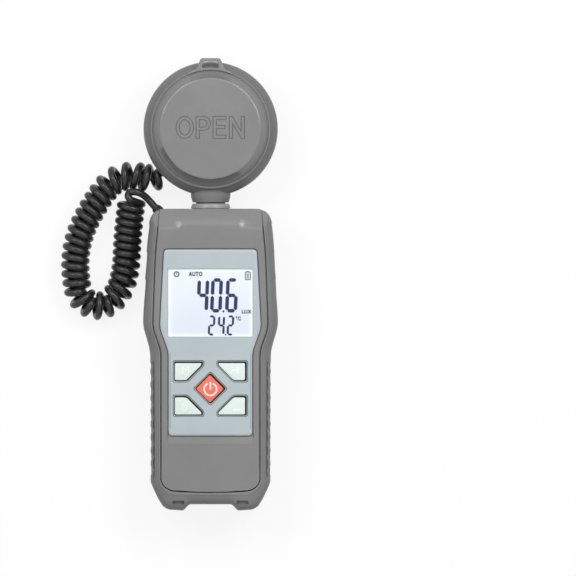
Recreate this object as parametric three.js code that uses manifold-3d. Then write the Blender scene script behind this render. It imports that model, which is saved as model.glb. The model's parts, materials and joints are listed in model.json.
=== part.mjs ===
// Hand-held lux meter with a docking sensor head on a curly cord.
// Millimetres. The meter lies on its back: +Z is up out of the display, +Y points at the sensor head.
// Lengths along Y are measured from the feet of the meter, and the whole is centred at the end.
import * as THREE from "three";
import { mergeVertices } from "three/addons/utils/BufferGeometryUtils.js";
import Module from "manifold-3d";

const wasm = await Module();
wasm.setup();

// Driving dimensions of the whole
const UP = new THREE.Vector3(0, 0, 1);
const TOTAL_LENGTH = 208.5;
const GAP = 0.3;
const WALL = 2.2;

// Meter body
const BODY_TOP_Y = 139.1;
const BACK_SPLIT_Z = 15;
const FLANGE_Z = 18;
const BUMPER_Z = 31;
const FACE_Z = 31.5;
const FOOT_FACE_Z = 30.7;
const POCKET_Z = 30.5;
const POCKET_LOW_Y = 30.9;
const FASCIA_FLOOR_Z = 30.4;
const FASCIA_Z = 32;
const TOP_WALL_Z = 28.4;
const CREASE_Y = 130.6;
const END_Z = 27.5;
const PCB_Z = 17.5;
const PCB_THICK = 1.6;
const RIB_FROM_Y = 18.7;
const RIB_TO_Y = 67.2;
const RIBS = 8;
const RIB_DEPTH = 0.7;
const SCALLOP_NOTCHES = [93.4, 106.3, 119.1];
const SCALLOP_PITCH = 12.9;
const SCALLOP_DEPTH = 0.45;

// Display and keys
const WINDOW = { x: 19.7, low: 80, high: 111.5 };
const KEY_CENTRE_Y = 56.3;
const KEY_TOP_Z = 31.7;
const KEY_GAP = 0.85;
const KEY_PLUNGER_R = 2.2;
const POWER_HALF = 7.8;

// Batteries and their door
const CELL_R = 5.25;
const CELL_LENGTH = 44.5;
const CELL_PITCH = 10.9;
const CELL_Z = 8;
const BAY = { x: 16.6, low: 12.6, high: 63, roof: 13.5 };

// Dock between meter and head: an oval plug and socket
const DOCK_Z = 16;
const DOCK_OVAL = 0.78;
const DOCK_BORE_R = 7.1;
const DOCK_PLUG_R = 6.8;
const COLLAR_R = 9.15;

// Sensor head
const HEAD_Y = 176;
const HEAD_R = 31;
const HEAD_SPLIT_Z = 16;
const BOWL_R = 25.5;
const BOWL_BORE_R = 23.2;
const CAP_TOP_Z = 33;
const CAP_FACE_R = 22.9;
const CAP_R = 27.7;
const DOME_R = 19.5;
const DOME_TOP_Z = 30.6;
const HEAD_BOARD_R = 16.4;
const PHOTODIODE_HALF = 4;
const ROUND = 30;

// Curly cord
const WIRE_R = 1.5;
const CURL_R = 5.05;
const CURL_AXIS_Z = 6.7;
const STEPS_PER_CURL = 8;
const WIRE_SIDES = 5;

// Solids and how they are cut and joined
function solid(geometry) {
  const bare = geometry.index ? geometry.toNonIndexed() : geometry.clone();
  bare.deleteAttribute("normal");
  bare.deleteAttribute("uv");
  const merged = mergeVertices(bare, 1e-4);
  const build = (triVerts) =>
    new wasm.Manifold(
      new wasm.Mesh({ numProp: 3, vertProperties: merged.attributes.position.array, triVerts }),
    );
  const triVerts = new Uint32Array(merged.index.array);
  const made = build(triVerts);
  return made.volume() > 0 ? made : build(triVerts.toReversed());
}

function geometryOf(shape) {
  const mesh = shape.getMesh();
  const geometry = new THREE.BufferGeometry();
  geometry.setAttribute("position", new THREE.BufferAttribute(mesh.vertProperties, 3));
  geometry.setIndex(new THREE.BufferAttribute(mesh.triVerts, 1));
  return geometry;
}

function join(first, ...others) {
  return others.reduce((sum, other) => sum.add(other), first);
}

function cut(first, ...others) {
  return others.reduce((rest, other) => rest.subtract(other), first);
}

// A flat outline raised from one height to another
function prism(shape, low, high, steps = 2) {
  const geometry = new THREE.ExtrudeGeometry(shape, {
    depth: high - low,
    bevelEnabled: false,
    curveSegments: steps,
  });
  geometry.translate(0, 0, low);
  return solid(geometry);
}

function block(x0, x1, y0, y1, z0, z1) {
  const geometry = new THREE.BoxGeometry(x1 - x0, y1 - y0, z1 - z0);
  geometry.translate((x0 + x1) / 2, (y0 + y1) / 2, (z0 + z1) / 2);
  return solid(geometry);
}

function post(x, y, radius, low, high, sides = 12) {
  const geometry = new THREE.CylinderGeometry(radius, radius, high - low, sides);
  geometry.rotateX(Math.PI / 2);
  geometry.translate(x, y, (low + high) / 2);
  return solid(geometry);
}

// A profile of radius and height, turned about the head's upright axis
function turned(profile, sides = ROUND) {
  const points = profile.map(([r, z]) => new THREE.Vector2(r, z));
  const geometry = new THREE.LatheGeometry(points, sides);
  geometry.rotateX(Math.PI / 2);
  geometry.translate(0, HEAD_Y, 0);
  return solid(geometry);
}

// A profile of radius and length, turned about the dock's lying axis and made oval
function turnedAlongY(profile, sides = 20) {
  const points = profile.map(([r, y]) => new THREE.Vector2(r, y));
  const geometry = new THREE.LatheGeometry(points, sides);
  geometry.scale(1, 1, DOCK_OVAL);
  geometry.translate(0, 0, DOCK_Z);
  return solid(geometry);
}

// A closed skin through rings of equal count, each ring a list of [x, y, z]
function skin(rings) {
  const count = rings[0].length;
  const positions = rings.flat(2);
  const faces = [];
  for (let layer = 0; layer + 1 < rings.length; layer++) {
    for (let i = 0; i < count; i++) {
      const a = layer * count + i;
      const b = layer * count + ((i + 1) % count);
      faces.push(a, b, b + count, a, b + count, a + count);
    }
  }
  const flat = (ring) => ring.map(([x, y]) => new THREE.Vector2(x, y));
  const last = (rings.length - 1) * count;
  for (const [a, b, c] of THREE.ShapeUtils.triangulateShape(flat(rings[0]), [])) {
    faces.push(a, c, b);
  }
  for (const [a, b, c] of THREE.ShapeUtils.triangulateShape(flat(rings.at(-1)), [])) {
    faces.push(last + a, last + b, last + c);
  }
  const geometry = new THREE.BufferGeometry();
  geometry.setAttribute("position", new THREE.Float32BufferAttribute(positions, 3));
  geometry.setIndex(faces);
  return solid(geometry);
}

// Outlines
function roundedShape(corners, radius) {
  const shape = new THREE.Shape();
  corners.forEach((corner, i) => {
    const here = new THREE.Vector2(...corner);
    const before = new THREE.Vector2(...corners.at(i - 1));
    const after = new THREE.Vector2(...corners[(i + 1) % corners.length]);
    const wanted = corner.length > 2 ? corner[2] : radius;
    const r = Math.min(wanted, 0.45 * here.distanceTo(before), 0.45 * here.distanceTo(after));
    const start = here.clone().add(before.sub(here).setLength(r));
    const end = here.clone().add(after.sub(here).setLength(r));
    if (i === 0) shape.moveTo(start.x, start.y);
    else shape.lineTo(start.x, start.y);
    shape.quadraticCurveTo(here.x, here.y, end.x, end.y);
  });
  shape.closePath();
  return shape;
}

function mirrored(rightHalf) {
  const left = rightHalf.map(([x, ...rest]) => [-x, ...rest]);
  return [...rightHalf, ...left.reverse()];
}

// Moves each side of a convex outline inwards by a distance
function inset(corners, distance) {
  return corners.map((corner, i) => {
    const before = corners.at(i - 1);
    const after = corners[(i + 1) % corners.length];
    const first = new THREE.Vector2(corner[0] - before[0], corner[1] - before[1]).normalize();
    const second = new THREE.Vector2(after[0] - corner[0], after[1] - corner[1]).normalize();
    const normals = [new THREE.Vector2(-first.y, first.x), new THREE.Vector2(-second.y, second.x)];
    const middle = normals[0].clone().add(normals[1]);
    const reach = (2 * distance) / middle.lengthSq();
    return [corner[0] + middle.x * reach, corner[1] + middle.y * reach];
  });
}

function rectangle(halfX, low, high) {
  return [
    [-halfX, low],
    [halfX, low],
    [halfX, high],
    [-halfX, high],
  ];
}

// Half width of the body's outside and of the groove round its face, at a height above the feet
const OUTER_WIDTHS = [
  [13.2, 27.6],
  [73.6, 27.8],
  [85.3, 31.2],
  [100.3, 30.5],
  [126.5, 29.1],
  [133.4, 28.2],
];
const GROOVE_WIDTHS = [
  [14.3, 22.8],
  [73.6, 22.8],
  [84.4, 26.6],
  [104, 25.9],
  [117.8, 25.4],
  [139.1, 23.4],
];
const WAIST_SOFTNESS = 2.4;

function straight(stations, y) {
  const next = stations.findIndex(([at]) => at >= y);
  if (next === 0) return stations[0][1];
  if (next < 0) return stations.at(-1)[1];
  const [y0, w0] = stations[next - 1];
  const [y1, w1] = stations[next];
  return w0 + ((w1 - w0) * (y - y0)) / (y1 - y0);
}

function widthAt(stations, y) {
  const reach = Math.min(WAIST_SOFTNESS, y - stations[0][0], stations.at(-1)[0] - y);
  const around = [-1, -0.5, 0, 0.5, 1].map((part) => straight(stations, y + part * Math.max(reach, 0)));
  return around.reduce((sum, width) => sum + width, 0) / around.length;
}

// How far the grip's ribs and scallops stand back from the full width
function gripDepth(y) {
  if (y >= RIB_FROM_Y && y <= RIB_TO_Y) {
    const turn = ((y - RIB_FROM_Y) / (RIB_TO_Y - RIB_FROM_Y)) * RIBS;
    return RIB_DEPTH * (1 - Math.abs(Math.sin(turn * Math.PI)));
  }
  const notch = SCALLOP_NOTCHES.find((at) => y > at && y <= at + SCALLOP_PITCH);
  return notch ? (SCALLOP_DEPTH * (y - notch)) / SCALLOP_PITCH : 0;
}

function gripHeights() {
  const heights = [16];
  const step = (RIB_TO_Y - RIB_FROM_Y) / (RIBS * 4);
  for (let i = 0; i <= RIBS * 4; i++) heights.push(RIB_FROM_Y + i * step);
  heights.push(71, 73.6, 76, 80, 83, 85.3, 88);
  for (const notch of SCALLOP_NOTCHES) heights.push(notch - 0.2, notch + 0.2, notch + 6);
  heights.push(131);
  return heights;
}
const PLAIN_HEIGHTS = [73.6, 76, 80, 85.3, 94, 118, 131];

// Corners of the foot and the shoulder: the outside, and the groove, which t runs between
const FOOT = [
  [0, 2.9, 0, 8.5],
  [9.8, 2.9, 7, 8.6],
  [12.5, 0, 12, 8.9],
  [19.5, 0.5, 15.5, 9.1],
  [22, 2, 18, 9.3],
  [24.3, 5.8, 20.6, 10.6],
  [26.3, 10, 22.1, 12.3],
  [27.6, 13.2, 22.8, 14.3],
];
const SHOULDER = [
  [28.2, 133.4, 24, 133.4],
  [27.2, 136, 23.7, 136],
  [25.5, 137.9, 23.5, 137.9],
  [23.1, 138.7, 23.3, 138.9],
  [21, 139.1, 21, 139.1],
  [0, 139.1, 0, 139.1],
];

// The body's outline as a ring of points: t is 0 at the outside and 1 at the groove
function outline(t, heights, grip) {
  const between = ([x0, y0, x1, y1]) => [x0 + (x1 - x0) * t, y0 + (y1 - y0) * t];
  const side = heights.map((y) => {
    const outer = widthAt(OUTER_WIDTHS, y) - grip * gripDepth(y);
    return [outer + (widthAt(GROOVE_WIDTHS, y) - outer) * t, y];
  });
  const right = [...FOOT.map(between), ...side, ...SHOULDER.map(between)];
  const left = right.slice(1, -1).map(([x, y]) => [-x, y]);
  return [...right, ...left.reverse()];
}

function bodySkin(layers, heights, grip) {
  return skin(layers.map(([z, t, ribs = 0]) => outline(t, heights, ribs * grip).map(([x, y]) => [x, y, z])));
}

// An outline of lengths and heights, drawn across the body from one side to the other
function across(outline, halfX) {
  const side = new THREE.Shape(outline.map(([y, z]) => new THREE.Vector2(y, z)));
  const geometry = new THREE.ExtrudeGeometry(side, { depth: 2 * halfX, bevelEnabled: false });
  geometry.applyMatrix4(new THREE.Matrix4().set(0, 0, 1, -halfX, 1, 0, 0, 0, 0, 1, 0, 0, 0, 0, 0, 1));
  return solid(geometry);
}

// A slanting cut across the body's top end, from the crease at the face to the end wall
function endBevel(creaseY, creaseZ, endZ, above) {
  const far = BODY_TOP_Y + 2;
  const farZ = creaseZ + ((endZ - creaseZ) * (far - creaseY)) / (BODY_TOP_Y - creaseY);
  const level = above ? creaseZ + 10 : creaseZ - 10;
  return across([[creaseY, creaseZ], [far, farZ], [far, level], [creaseY, level]], 40);
}

// Rear shell
const CASE_SCREWS = [
  [-20.6, 15.5],
  [20.6, 15.5],
  [-20.3, 126.4],
  [20.3, 126.4],
];
const SCREW_HEAD_Z = 9;
const SCREW_HEAD_R = 2.3;
const SCREW_R = 1;

function dockHole() {
  return turnedAlongY([[0, 120], [8.9, 120], [8.9, 141], [0, 141]]);
}

function rearShell() {
  const layers = [[0, 0.55], [1.2, 0.32], [3.6, 0.12], [8, 0.04], [BACK_SPLIT_Z, 0.04]];
  const outside = bodySkin(layers, PLAIN_HEIGHTS, 0);
  const upper = mirrored([[24.6, 66], [24.6, 74.5], [28, 86], [26.4, 124], [21, 135.5]]);
  const upperRoom = prism(roundedShape(upper, 1.5), WALL, BACK_SPLIT_Z + 1, 3);
  const sideRoom = (side) => {
    const [near, far] = side < 0 ? [-24.6, -18.8] : [18.8, 24.6];
    return block(near, far, 20.5, 63.8, WALL, BACK_SPLIT_Z + 1);
  };
  const bay = block(-BAY.x, BAY.x, BAY.low, BAY.high, 1, BAY.roof);
  const doorway = block(-16.2, 16.2, -1, BAY.high, -1, 1.3);
  const rails = block(-17.3, 17.3, -1, BAY.high, 1.2, 2.8);
  const columns = CASE_SCREWS.slice(2).map(([x, y]) => post(x, y, 3.4, 1, BACK_SPLIT_Z));
  const counterbores = CASE_SCREWS.map(([x, y]) => post(x, y, SCREW_HEAD_R + GAP, -1, SCREW_HEAD_Z));
  const shanks = CASE_SCREWS.map(([x, y]) => post(x, y, SCREW_R + GAP, -1, 20));
  const hollow = join(cut(outside, upperRoom, sideRoom(-1), sideRoom(1)), ...columns);
  const bevel = endBevel(133, 0, 3.5, false);
  const passages = [dockHole(), glandHole(METER_GLAND)];
  return cut(hollow, bay, doorway, rails, bevel, ...passages, ...counterbores, ...shanks);
}

// Fascia outline, which follows the waist, and the recess that it sits in
const FASCIA = mirrored([[19.2, 34.7, 2], [19.2, 73.2, 2.5], [23.2, 84.2, 2.5], [21.3, 120.3, 2]]);
const FASCIA_SEAT = mirrored([[19.8, 34.1, 2.2], [19.8, 73.2, 2.5], [23.8, 84.2, 2.5], [21.9, 120.9, 2.2]]);

const KEY_NAMES = ["key_mode", "key_hold", "key_display", "key_backlight"];
function keyCorners(right, top) {
  const corner = [[3, 12.8], [3, 10.5], [10.5, 3], [17.1, 3], [17.1, 12.8]];
  const placed = corner.map(([x, y]) => [right * x, KEY_CENTRE_Y + top * y]);
  return right * top > 0 ? placed : placed.reverse();
}
const KEYS = [
  { name: KEY_NAMES[0], corners: keyCorners(-1, 1), plunger: [-11.3, KEY_CENTRE_Y + 8.9] },
  { name: KEY_NAMES[1], corners: keyCorners(1, 1), plunger: [11.3, KEY_CENTRE_Y + 8.9] },
  { name: KEY_NAMES[2], corners: keyCorners(-1, -1), plunger: [-11.3, KEY_CENTRE_Y - 8.9] },
  { name: KEY_NAMES[3], corners: keyCorners(1, -1), plunger: [11.3, KEY_CENTRE_Y - 8.9] },
  {
    name: "key_power",
    corners: [
      [0, KEY_CENTRE_Y - POWER_HALF],
      [POWER_HALF, KEY_CENTRE_Y],
      [0, KEY_CENTRE_Y + POWER_HALF],
      [-POWER_HALF, KEY_CENTRE_Y],
    ],
    plunger: [0, KEY_CENTRE_Y],
  },
];

function keyHoles(low, high) {
  return KEYS.map(({ corners }) => prism(roundedShape(corners, 1), low, high));
}

// Front shell: a flange under the bumper, and a tall wall inside the groove
const PCB_BOSSES = [
  [-19.4, 116.6],
  [19.4, 116.6],
];

function frontShell() {
  const lowZ = BACK_SPLIT_Z + GAP;
  const flange = bodySkin([[lowZ, 0.06], [FLANGE_Z, 0.06]], PLAIN_HEIGHTS, 0);
  const tower = bodySkin([[FLANGE_Z - 1, 1.04], [FACE_Z, 1.04]], PLAIN_HEIGHTS, 0);
  const room = mirrored([[20.4, 11.6], [20.4, 74.2], [24, 85.4], [22.8, 129.6]]);
  const inside = prism(roundedShape(room, 1.5), lowZ - 1, TOP_WALL_Z, 2);
  const caseBosses = CASE_SCREWS.map(([x, y]) => post(x, y, 2.6, lowZ, TOP_WALL_Z + 1));
  const aboveBoard = PCB_Z + PCB_THICK + GAP;
  const boardBosses = PCB_BOSSES.map(([x, y]) => post(x, y, 2.4, aboveBoard, TOP_WALL_Z + 1));
  const bosses = join(...caseBosses, ...boardBosses).intersect(tower.add(flange));
  const caseHoles = CASE_SCREWS.map(([x, y]) => post(x, y, SCREW_R + GAP, lowZ - 1, 27, 10));
  const boardHoles = PCB_BOSSES.map(([x, y]) => post(x, y, SCREW_R + GAP, 15, 26, 10));
  const seat = prism(roundedShape(FASCIA_SEAT, 2), FASCIA_FLOOR_Z, FACE_Z + 1, 3);
  const display = prism(roundedShape(rectangle(20.9, 79.2, 112.3), 1), 25, FACE_Z, 2);
  const body = join(cut(tower.add(flange), inside), bosses);
  return cut(
    body,
    seat,
    display,
    footTilt(),
    pocketSlope(),
    endBevel(CREASE_Y, FACE_Z, END_Z, true),
    dockHole(),
    ...keyHoles(20, FACE_Z),
    ...caseHoles,
    ...boardHoles,
  );
}

// The face falls a little from the fascia's foot to the end of the meter
function footTilt() {
  const above = FACE_Z + 5;
  const fall = [[POCKET_LOW_Y, FACE_Z], [8, FOOT_FACE_Z], [0, FOOT_FACE_Z], [0, above], [POCKET_LOW_Y, above]];
  return across(fall, 30);
}

// The lower end of the fascia's pocket is a slope in place of a wall
function pocketSlope() {
  const high = 36;
  const above = FACE_Z + 3;
  const slope = [[POCKET_LOW_Y, FACE_Z], [34.4, POCKET_Z], [high, POCKET_Z], [high, above], [POCKET_LOW_Y, above]];
  const plan = roundedShape(mirrored([[20, POCKET_LOW_Y, 2.4], [20, high, 0.2]]), 1);
  return across(slope, 25).intersect(prism(plan, FACE_Z - 3, above, 3));
}

// Bumper frame: a U round both sides and the foot, with ribs and scallops for the hand
const FOOT_SLOT = { x: 14.75, half: 2.75, low: 3, high: 4.7 };
function bumperFrame() {
  const layers = [
    [FLANGE_Z + GAP, 0, 1],
    [23.5, 0, 1],
    [27, 0.12, 1],
    [29.3, 0.4, 0.6],
    [30.3, 0.7, 0.2],
    [BUMPER_Z, 0.77, 0],
  ];
  const outside = bodySkin(layers, gripHeights(), 1);
  const opening = outline(0.94, PLAIN_HEIGHTS, 0).map(([x, y]) => (y > 137 ? [x, y + 4] : [x, y]));
  const shape = new THREE.Shape(opening.map(([x, y]) => new THREE.Vector2(x, y)));
  const middle = prism(shape, FLANGE_Z - 1, BUMPER_Z + 1);
  const slots = [-1, 1].map((side) => {
    const middleX = side * FOOT_SLOT.x;
    return block(middleX - FOOT_SLOT.half, middleX + FOOT_SLOT.half, FOOT_SLOT.low, FOOT_SLOT.high, 26.5, 40);
  });
  return cut(outside, middle, endBevel(CREASE_Y, FACE_Z, END_Z, true), ...slots);
}

function fasciaPanel() {
  const low = FASCIA_FLOOR_Z + GAP;
  const panel = prism(roundedShape(FASCIA, 2), low, FASCIA_Z, 3);
  const frame = roundedShape(rectangle(WINDOW.x, WINDOW.low, WINDOW.high), 0.8);
  const display = prism(frame, low - 1, FASCIA_Z + 1, 3);
  return cut(panel, display, ...keyHoles(low - 1, FASCIA_Z + 1));
}

function displayWindow() {
  const pane = rectangle(WINDOW.x - 0.2, WINDOW.low + 0.2, WINDOW.high - 0.2);
  return prism(roundedShape(pane, 0.7), FASCIA_FLOOR_Z + GAP, FASCIA_Z - 0.2, 3);
}

function lcdGlass() {
  return block(-20.5, 20.5, 79.6, 111.9, 28.6, FASCIA_FLOOR_Z);
}

function lcdBacklight() {
  const plate = block(-19.8, 19.8, 80.4, 109, 24, 28.3);
  const foot = PCB_Z + PCB_THICK + GAP;
  const legs = [-18.6, 18.6].flatMap((x) => [82, 107].map((y) => post(x, y, 1.1, foot, 25, 8)));
  return join(plate, ...legs);
}

// Circuit board, as wide as the case at each height
function mainBoard() {
  const edge = mirrored([[19.8, 19.5], [19.8, 74.2], [23.2, 85.6], [22, 120.4]]);
  const board = prism(roundedShape(edge, 1.5), PCB_Z, PCB_Z + PCB_THICK, 2);
  const holes = PCB_BOSSES.map(([x, y]) => post(x, y, SCREW_R + GAP, PCB_Z - 1, PCB_Z + 3, 10));
  return cut(board, ...holes);
}

// Rubber mat on the board, with a short collar round each plunger
function keypadMat() {
  const low = PCB_Z + PCB_THICK + GAP;
  const sheet = prism(roundedShape(rectangle(18.4, 42.4, 70.2), 2), low, low + 0.9);
  const collars = KEYS.map(({ plunger: [x, y] }) => post(x, y, 4, low, low + 2.4, 10));
  const bores = KEYS.map(({ plunger: [x, y] }) => post(x, y, KEY_PLUNGER_R + 0.6, low - 1, low + 3, 10));
  return cut(join(sheet, ...collars), ...bores);
}

// A key: its cap in the panel, a flange that keeps it in, and a plunger over its contact
const KEY_TRAVEL_ROOM = 1.2;
function key({ corners, plunger: [x, y] }) {
  const face = inset(corners, KEY_GAP);
  const lip = inset(corners, -0.6);
  const contactTop = PCB_Z + PCB_THICK + KEY_TRAVEL_ROOM + 0.6;
  const cap = prism(roundedShape(face, 1), 27, KEY_TOP_Z - 0.5);
  const crown = prism(roundedShape(inset(face, 0.5), 0.9), 30, KEY_TOP_Z);
  const flange = prism(roundedShape(lip, 1), 26.9, TOP_WALL_Z - GAP, 1);
  return join(cap, crown, flange, post(x, y, KEY_PLUNGER_R, contactTop + GAP, 27.2, 10));
}

function contactPill({ plunger: [x, y] }) {
  const low = PCB_Z + PCB_THICK + KEY_TRAVEL_ROOM;
  return post(x, y, 1.9, low, low + 0.6, 8);
}

// Cells, with the middle one turned round
function cell(x, turn) {
  const end = turn ? 15.1 : 16;
  const can = [[0, 0], [4.9, 0], [CELL_R, 0.4], [CELL_R, 43.2], [4.8, 43.7]];
  can.push([1.9, 43.7], [1.9, CELL_LENGTH], [0, CELL_LENGTH]);
  const geometry = new THREE.LatheGeometry(can.map(([r, y]) => new THREE.Vector2(r, y)), 12);
  if (turn) {
    geometry.rotateX(Math.PI);
    geometry.translate(0, CELL_LENGTH, 0);
  }
  geometry.translate(x, end, CELL_Z);
  return solid(geometry);
}

// Contact strips: a cone spring for each negative end, a raised pip for each positive end
function batteryContacts(atFoot) {
  const wallY = atFoot ? 13.2 : 62.4;
  const inward = atFoot ? 1 : -1;
  const strip = block(-15.8, 15.8, wallY - 0.3, wallY + 0.3, 3.4, 12.6);
  const tips = [-1, 0, 1].map((i) => {
    const spring = (i !== 0) === atFoot;
    const reach = spring ? 2.2 : 1;
    const geometry = new THREE.CylinderGeometry(spring ? 2 : 1.5, spring ? 3.4 : 2, reach, 8);
    if (inward < 0) geometry.rotateX(Math.PI);
    geometry.translate(i * CELL_PITCH, wallY + (inward * reach) / 2, CELL_Z);
    return solid(geometry);
  });
  return join(strip, ...tips);
}

// Battery door: a plate that slides out past the foot, on tongues under the rails
function batteryDoor() {
  const low = 2.4;
  const plate = block(-15.9, 15.9, 6.4, 62.6, 0, 1.6);
  const tongues = block(-17, 17, low, 62.6, 1.5, 2.5);
  const lip = block(-15.9, 15.9, low, 6.5, 0.9, 2);
  const grips = [0, 1, 2, 3].map((i) => block(-7, 7, 12 + i * 2.4, 13 + i * 2.4, -1, 0.5));
  return cut(join(plate, tongues, lip), ...grips);
}

function caseScrew([x, y]) {
  const head = post(x, y, SCREW_HEAD_R, SCREW_HEAD_Z - 2.4, SCREW_HEAD_Z - GAP);
  const slot = block(x - 1.3, x + 1.3, y - 0.3, y + 0.3, 6, 7.4);
  const crossSlot = block(x - 0.3, x + 0.3, y - 1.3, y + 1.3, 6, 7.4);
  return cut(join(head, post(x, y, SCREW_R, 8, 26, 10)), slot, crossSlot);
}

function boardScrew([x, y]) {
  const head = post(x, y, 1.9, PCB_Z - 1.7, PCB_Z - GAP);
  return join(head, post(x, y, SCREW_R, PCB_Z - 1, 25, 10));
}

// Dock: a socket with a flange at the body's end, and a plug with a collar on the head
function dockCollar() {
  return turnedAlongY([
    [DOCK_BORE_R, 124.6],
    [8.6, 124.6],
    [8.6, BODY_TOP_Y + GAP],
    [COLLAR_R, BODY_TOP_Y + GAP],
    [8.9, 140.3],
    [8.1, 141.5],
    [DOCK_BORE_R, 141.5],
    [DOCK_BORE_R, 124.6],
  ]);
}

function dockPlug() {
  return turnedAlongY([
    [0, 126],
    [6.2, 126],
    [DOCK_PLUG_R, 126.8],
    [DOCK_PLUG_R, 129.4],
    [5.6, 129.4],
    [5.6, 131.4],
    [DOCK_PLUG_R, 131.4],
    [DOCK_PLUG_R, 142.1],
    [8.1, 142.1],
    [8.4, 143.4],
    [COLLAR_R, 145.6],
    [COLLAR_R, 152.2],
    [0, 152.2],
  ]);
}

function dockSeal() {
  return turnedAlongY([[5.9, 129.7], [6.8, 129.7], [6.95, 130.4], [6.8, 131.1], [5.9, 131.1], [5.9, 129.7]]);
}

// Strain reliefs: where each leaves its shell, which way, and how high
const METER_GLAND = { base: [-24, 138], direction: [-0.66, 0.75], z: 10, reach: 2.4, seat: 2.9 };
const HEAD_GLAND_TURN = (222 * Math.PI) / 180;
const HEAD_GLAND_WAY = [Math.cos(HEAD_GLAND_TURN), Math.sin(HEAD_GLAND_TURN)];
const HEAD_GLAND = {
  base: [BOWL_R * HEAD_GLAND_WAY[0], HEAD_Y + BOWL_R * HEAD_GLAND_WAY[1]],
  direction: HEAD_GLAND_WAY,
  z: 9.4,
  reach: 3.2,
  seat: 2.9,
};

function alongGland(geometry, { base, direction, z }) {
  geometry.rotateZ(Math.atan2(direction[1], direction[0]) - Math.PI / 2);
  geometry.translate(base[0], base[1], z);
  return solid(geometry);
}

function gland(place) {
  const { reach, seat } = place;
  const profile = [[0, -seat], [3.3, -seat], [3.3, 0.9 - seat], [2.5, 0.9 - seat]];
  profile.push([2.5, 0.6], [2, reach], [0, reach]);
  return alongGland(new THREE.LatheGeometry(profile.map(([r, y]) => new THREE.Vector2(r, y)), 16), place);
}

function glandHole(place) {
  const bore = new THREE.CylinderGeometry(2.5 + GAP, 2.5 + GAP, 12, 16);
  const pocketDepth = 6;
  const pocket = new THREE.CylinderGeometry(3.3 + GAP, 3.3 + GAP, pocketDepth, 16);
  pocket.translate(0, -1.7 - pocketDepth / 2, 0);
  return alongGland(bore, place).add(alongGland(pocket, place));
}

function glandTip({ base, direction, z, reach }, beyond) {
  const out = reach + beyond;
  return new THREE.Vector3(base[0] + direction[0] * out, base[1] + direction[1] * out, z);
}

// Sensor head
const HEAD_SCREW_TURNS = [90, 210, 330];
const HEAD_SCREW_R = 20;
function aroundHead(radius, degrees) {
  const angle = (degrees * Math.PI) / 180;
  return [radius * Math.cos(angle), HEAD_Y + radius * Math.sin(angle)];
}

function headDockHole() {
  return turnedAlongY([[0, 140], [COLLAR_R + GAP, 140], [COLLAR_R + GAP, 152.6], [0, 152.6]]);
}

function headRearShell() {
  const bowl = turned([
    [0, 3],
    [18, 3],
    [22.4, 4.6],
    [24.9, 7.6],
    [BOWL_R, 12.4],
    [27, 13.7],
    [29.6, 14.3],
    [30.7, 15.1],
    [HEAD_R, HEAD_SPLIT_Z],
    [BOWL_BORE_R, HEAD_SPLIT_Z],
    [BOWL_BORE_R, 8.6],
    [20.8, 5.4],
    [0, 5.4],
  ]);
  const places = HEAD_SCREW_TURNS.map((turn) => aroundHead(HEAD_SCREW_R, turn));
  const columns = places.map(([x, y]) => post(x, y, 3.1, 4, HEAD_SPLIT_Z));
  const counterbores = places.map(([x, y]) => post(x, y, SCREW_HEAD_R + GAP, 0, SCREW_HEAD_Z));
  const shanks = places.map(([x, y]) => post(x, y, SCREW_R + GAP, 0, 20, 10));
  const stands = [30, 150, 270].map((turn) => post(...aroundHead(13, turn), 1.8, 4.5, 11.9, 10));
  const passages = [headDockHole(), glandHole(HEAD_GLAND)];
  return cut(join(bowl, ...columns, ...stands), ...counterbores, ...shanks, ...passages);
}

function headFrontRing() {
  const low = HEAD_SPLIT_Z + GAP;
  const ring = turned([
    [18.6, low],
    [HEAD_R, low],
    [HEAD_R, 18],
    [30.4, 20.4],
    [27.4, 24.2],
    [25.6, 24.2],
    [25.6, 26.4],
    [21.2, 26.4],
    [21.2, 21.6],
    [18.6, 21.6],
    [18.6, low],
  ]);
  const places = HEAD_SCREW_TURNS.map((turn) => aroundHead(HEAD_SCREW_R, turn));
  const holes = places.map(([x, y]) => post(x, y, SCREW_R + GAP, 10, 20.8, 10));
  return cut(ring, ...holes, headDockHole());
}

function headScrew(turn) {
  const [x, y] = aroundHead(HEAD_SCREW_R, turn);
  const head = post(x, y, SCREW_HEAD_R, SCREW_HEAD_Z - 2.4, SCREW_HEAD_Z - GAP);
  const slot = block(x - 1.5, x + 1.5, y - 0.35, y + 0.35, 6, 7.4);
  return cut(join(head, post(x, y, SCREW_R, 8, 20.4, 10)), slot);
}

function diffuserDome() {
  const seatZ = 21.9;
  const springZ = 22.9;
  const profile = [[0, 24], [17.6, 24], [17.6, seatZ], [20.8, seatZ], [20.8, springZ], [DOME_R, springZ]];
  const rise = DOME_TOP_Z - springZ;
  for (let i = 1; i <= 5; i++) {
    const angle = (i / 5) * (Math.PI / 2);
    profile.push([i === 5 ? 0 : DOME_R * Math.cos(angle), springZ + rise * Math.sin(angle)]);
  }
  return turned(profile, 24);
}

function photodiode() {
  const half = PHOTODIODE_HALF;
  return block(-half, half, HEAD_Y - half, HEAD_Y + half, 14.1, 16);
}

function sensorHolder() {
  const ring = turned(
    [[6.2, 16.6], [18.2, 16.6], [18.2, 21], [8.1, 21], [8.1, 18.2], [6.2, 18.2], [6.2, 16.6]],
    20,
  );
  const legs = [0, 120, 240].map((turn) => post(...aroundHead(14.6, turn), 1.3, 14.1, 17, 8));
  return join(ring, ...legs);
}

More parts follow.
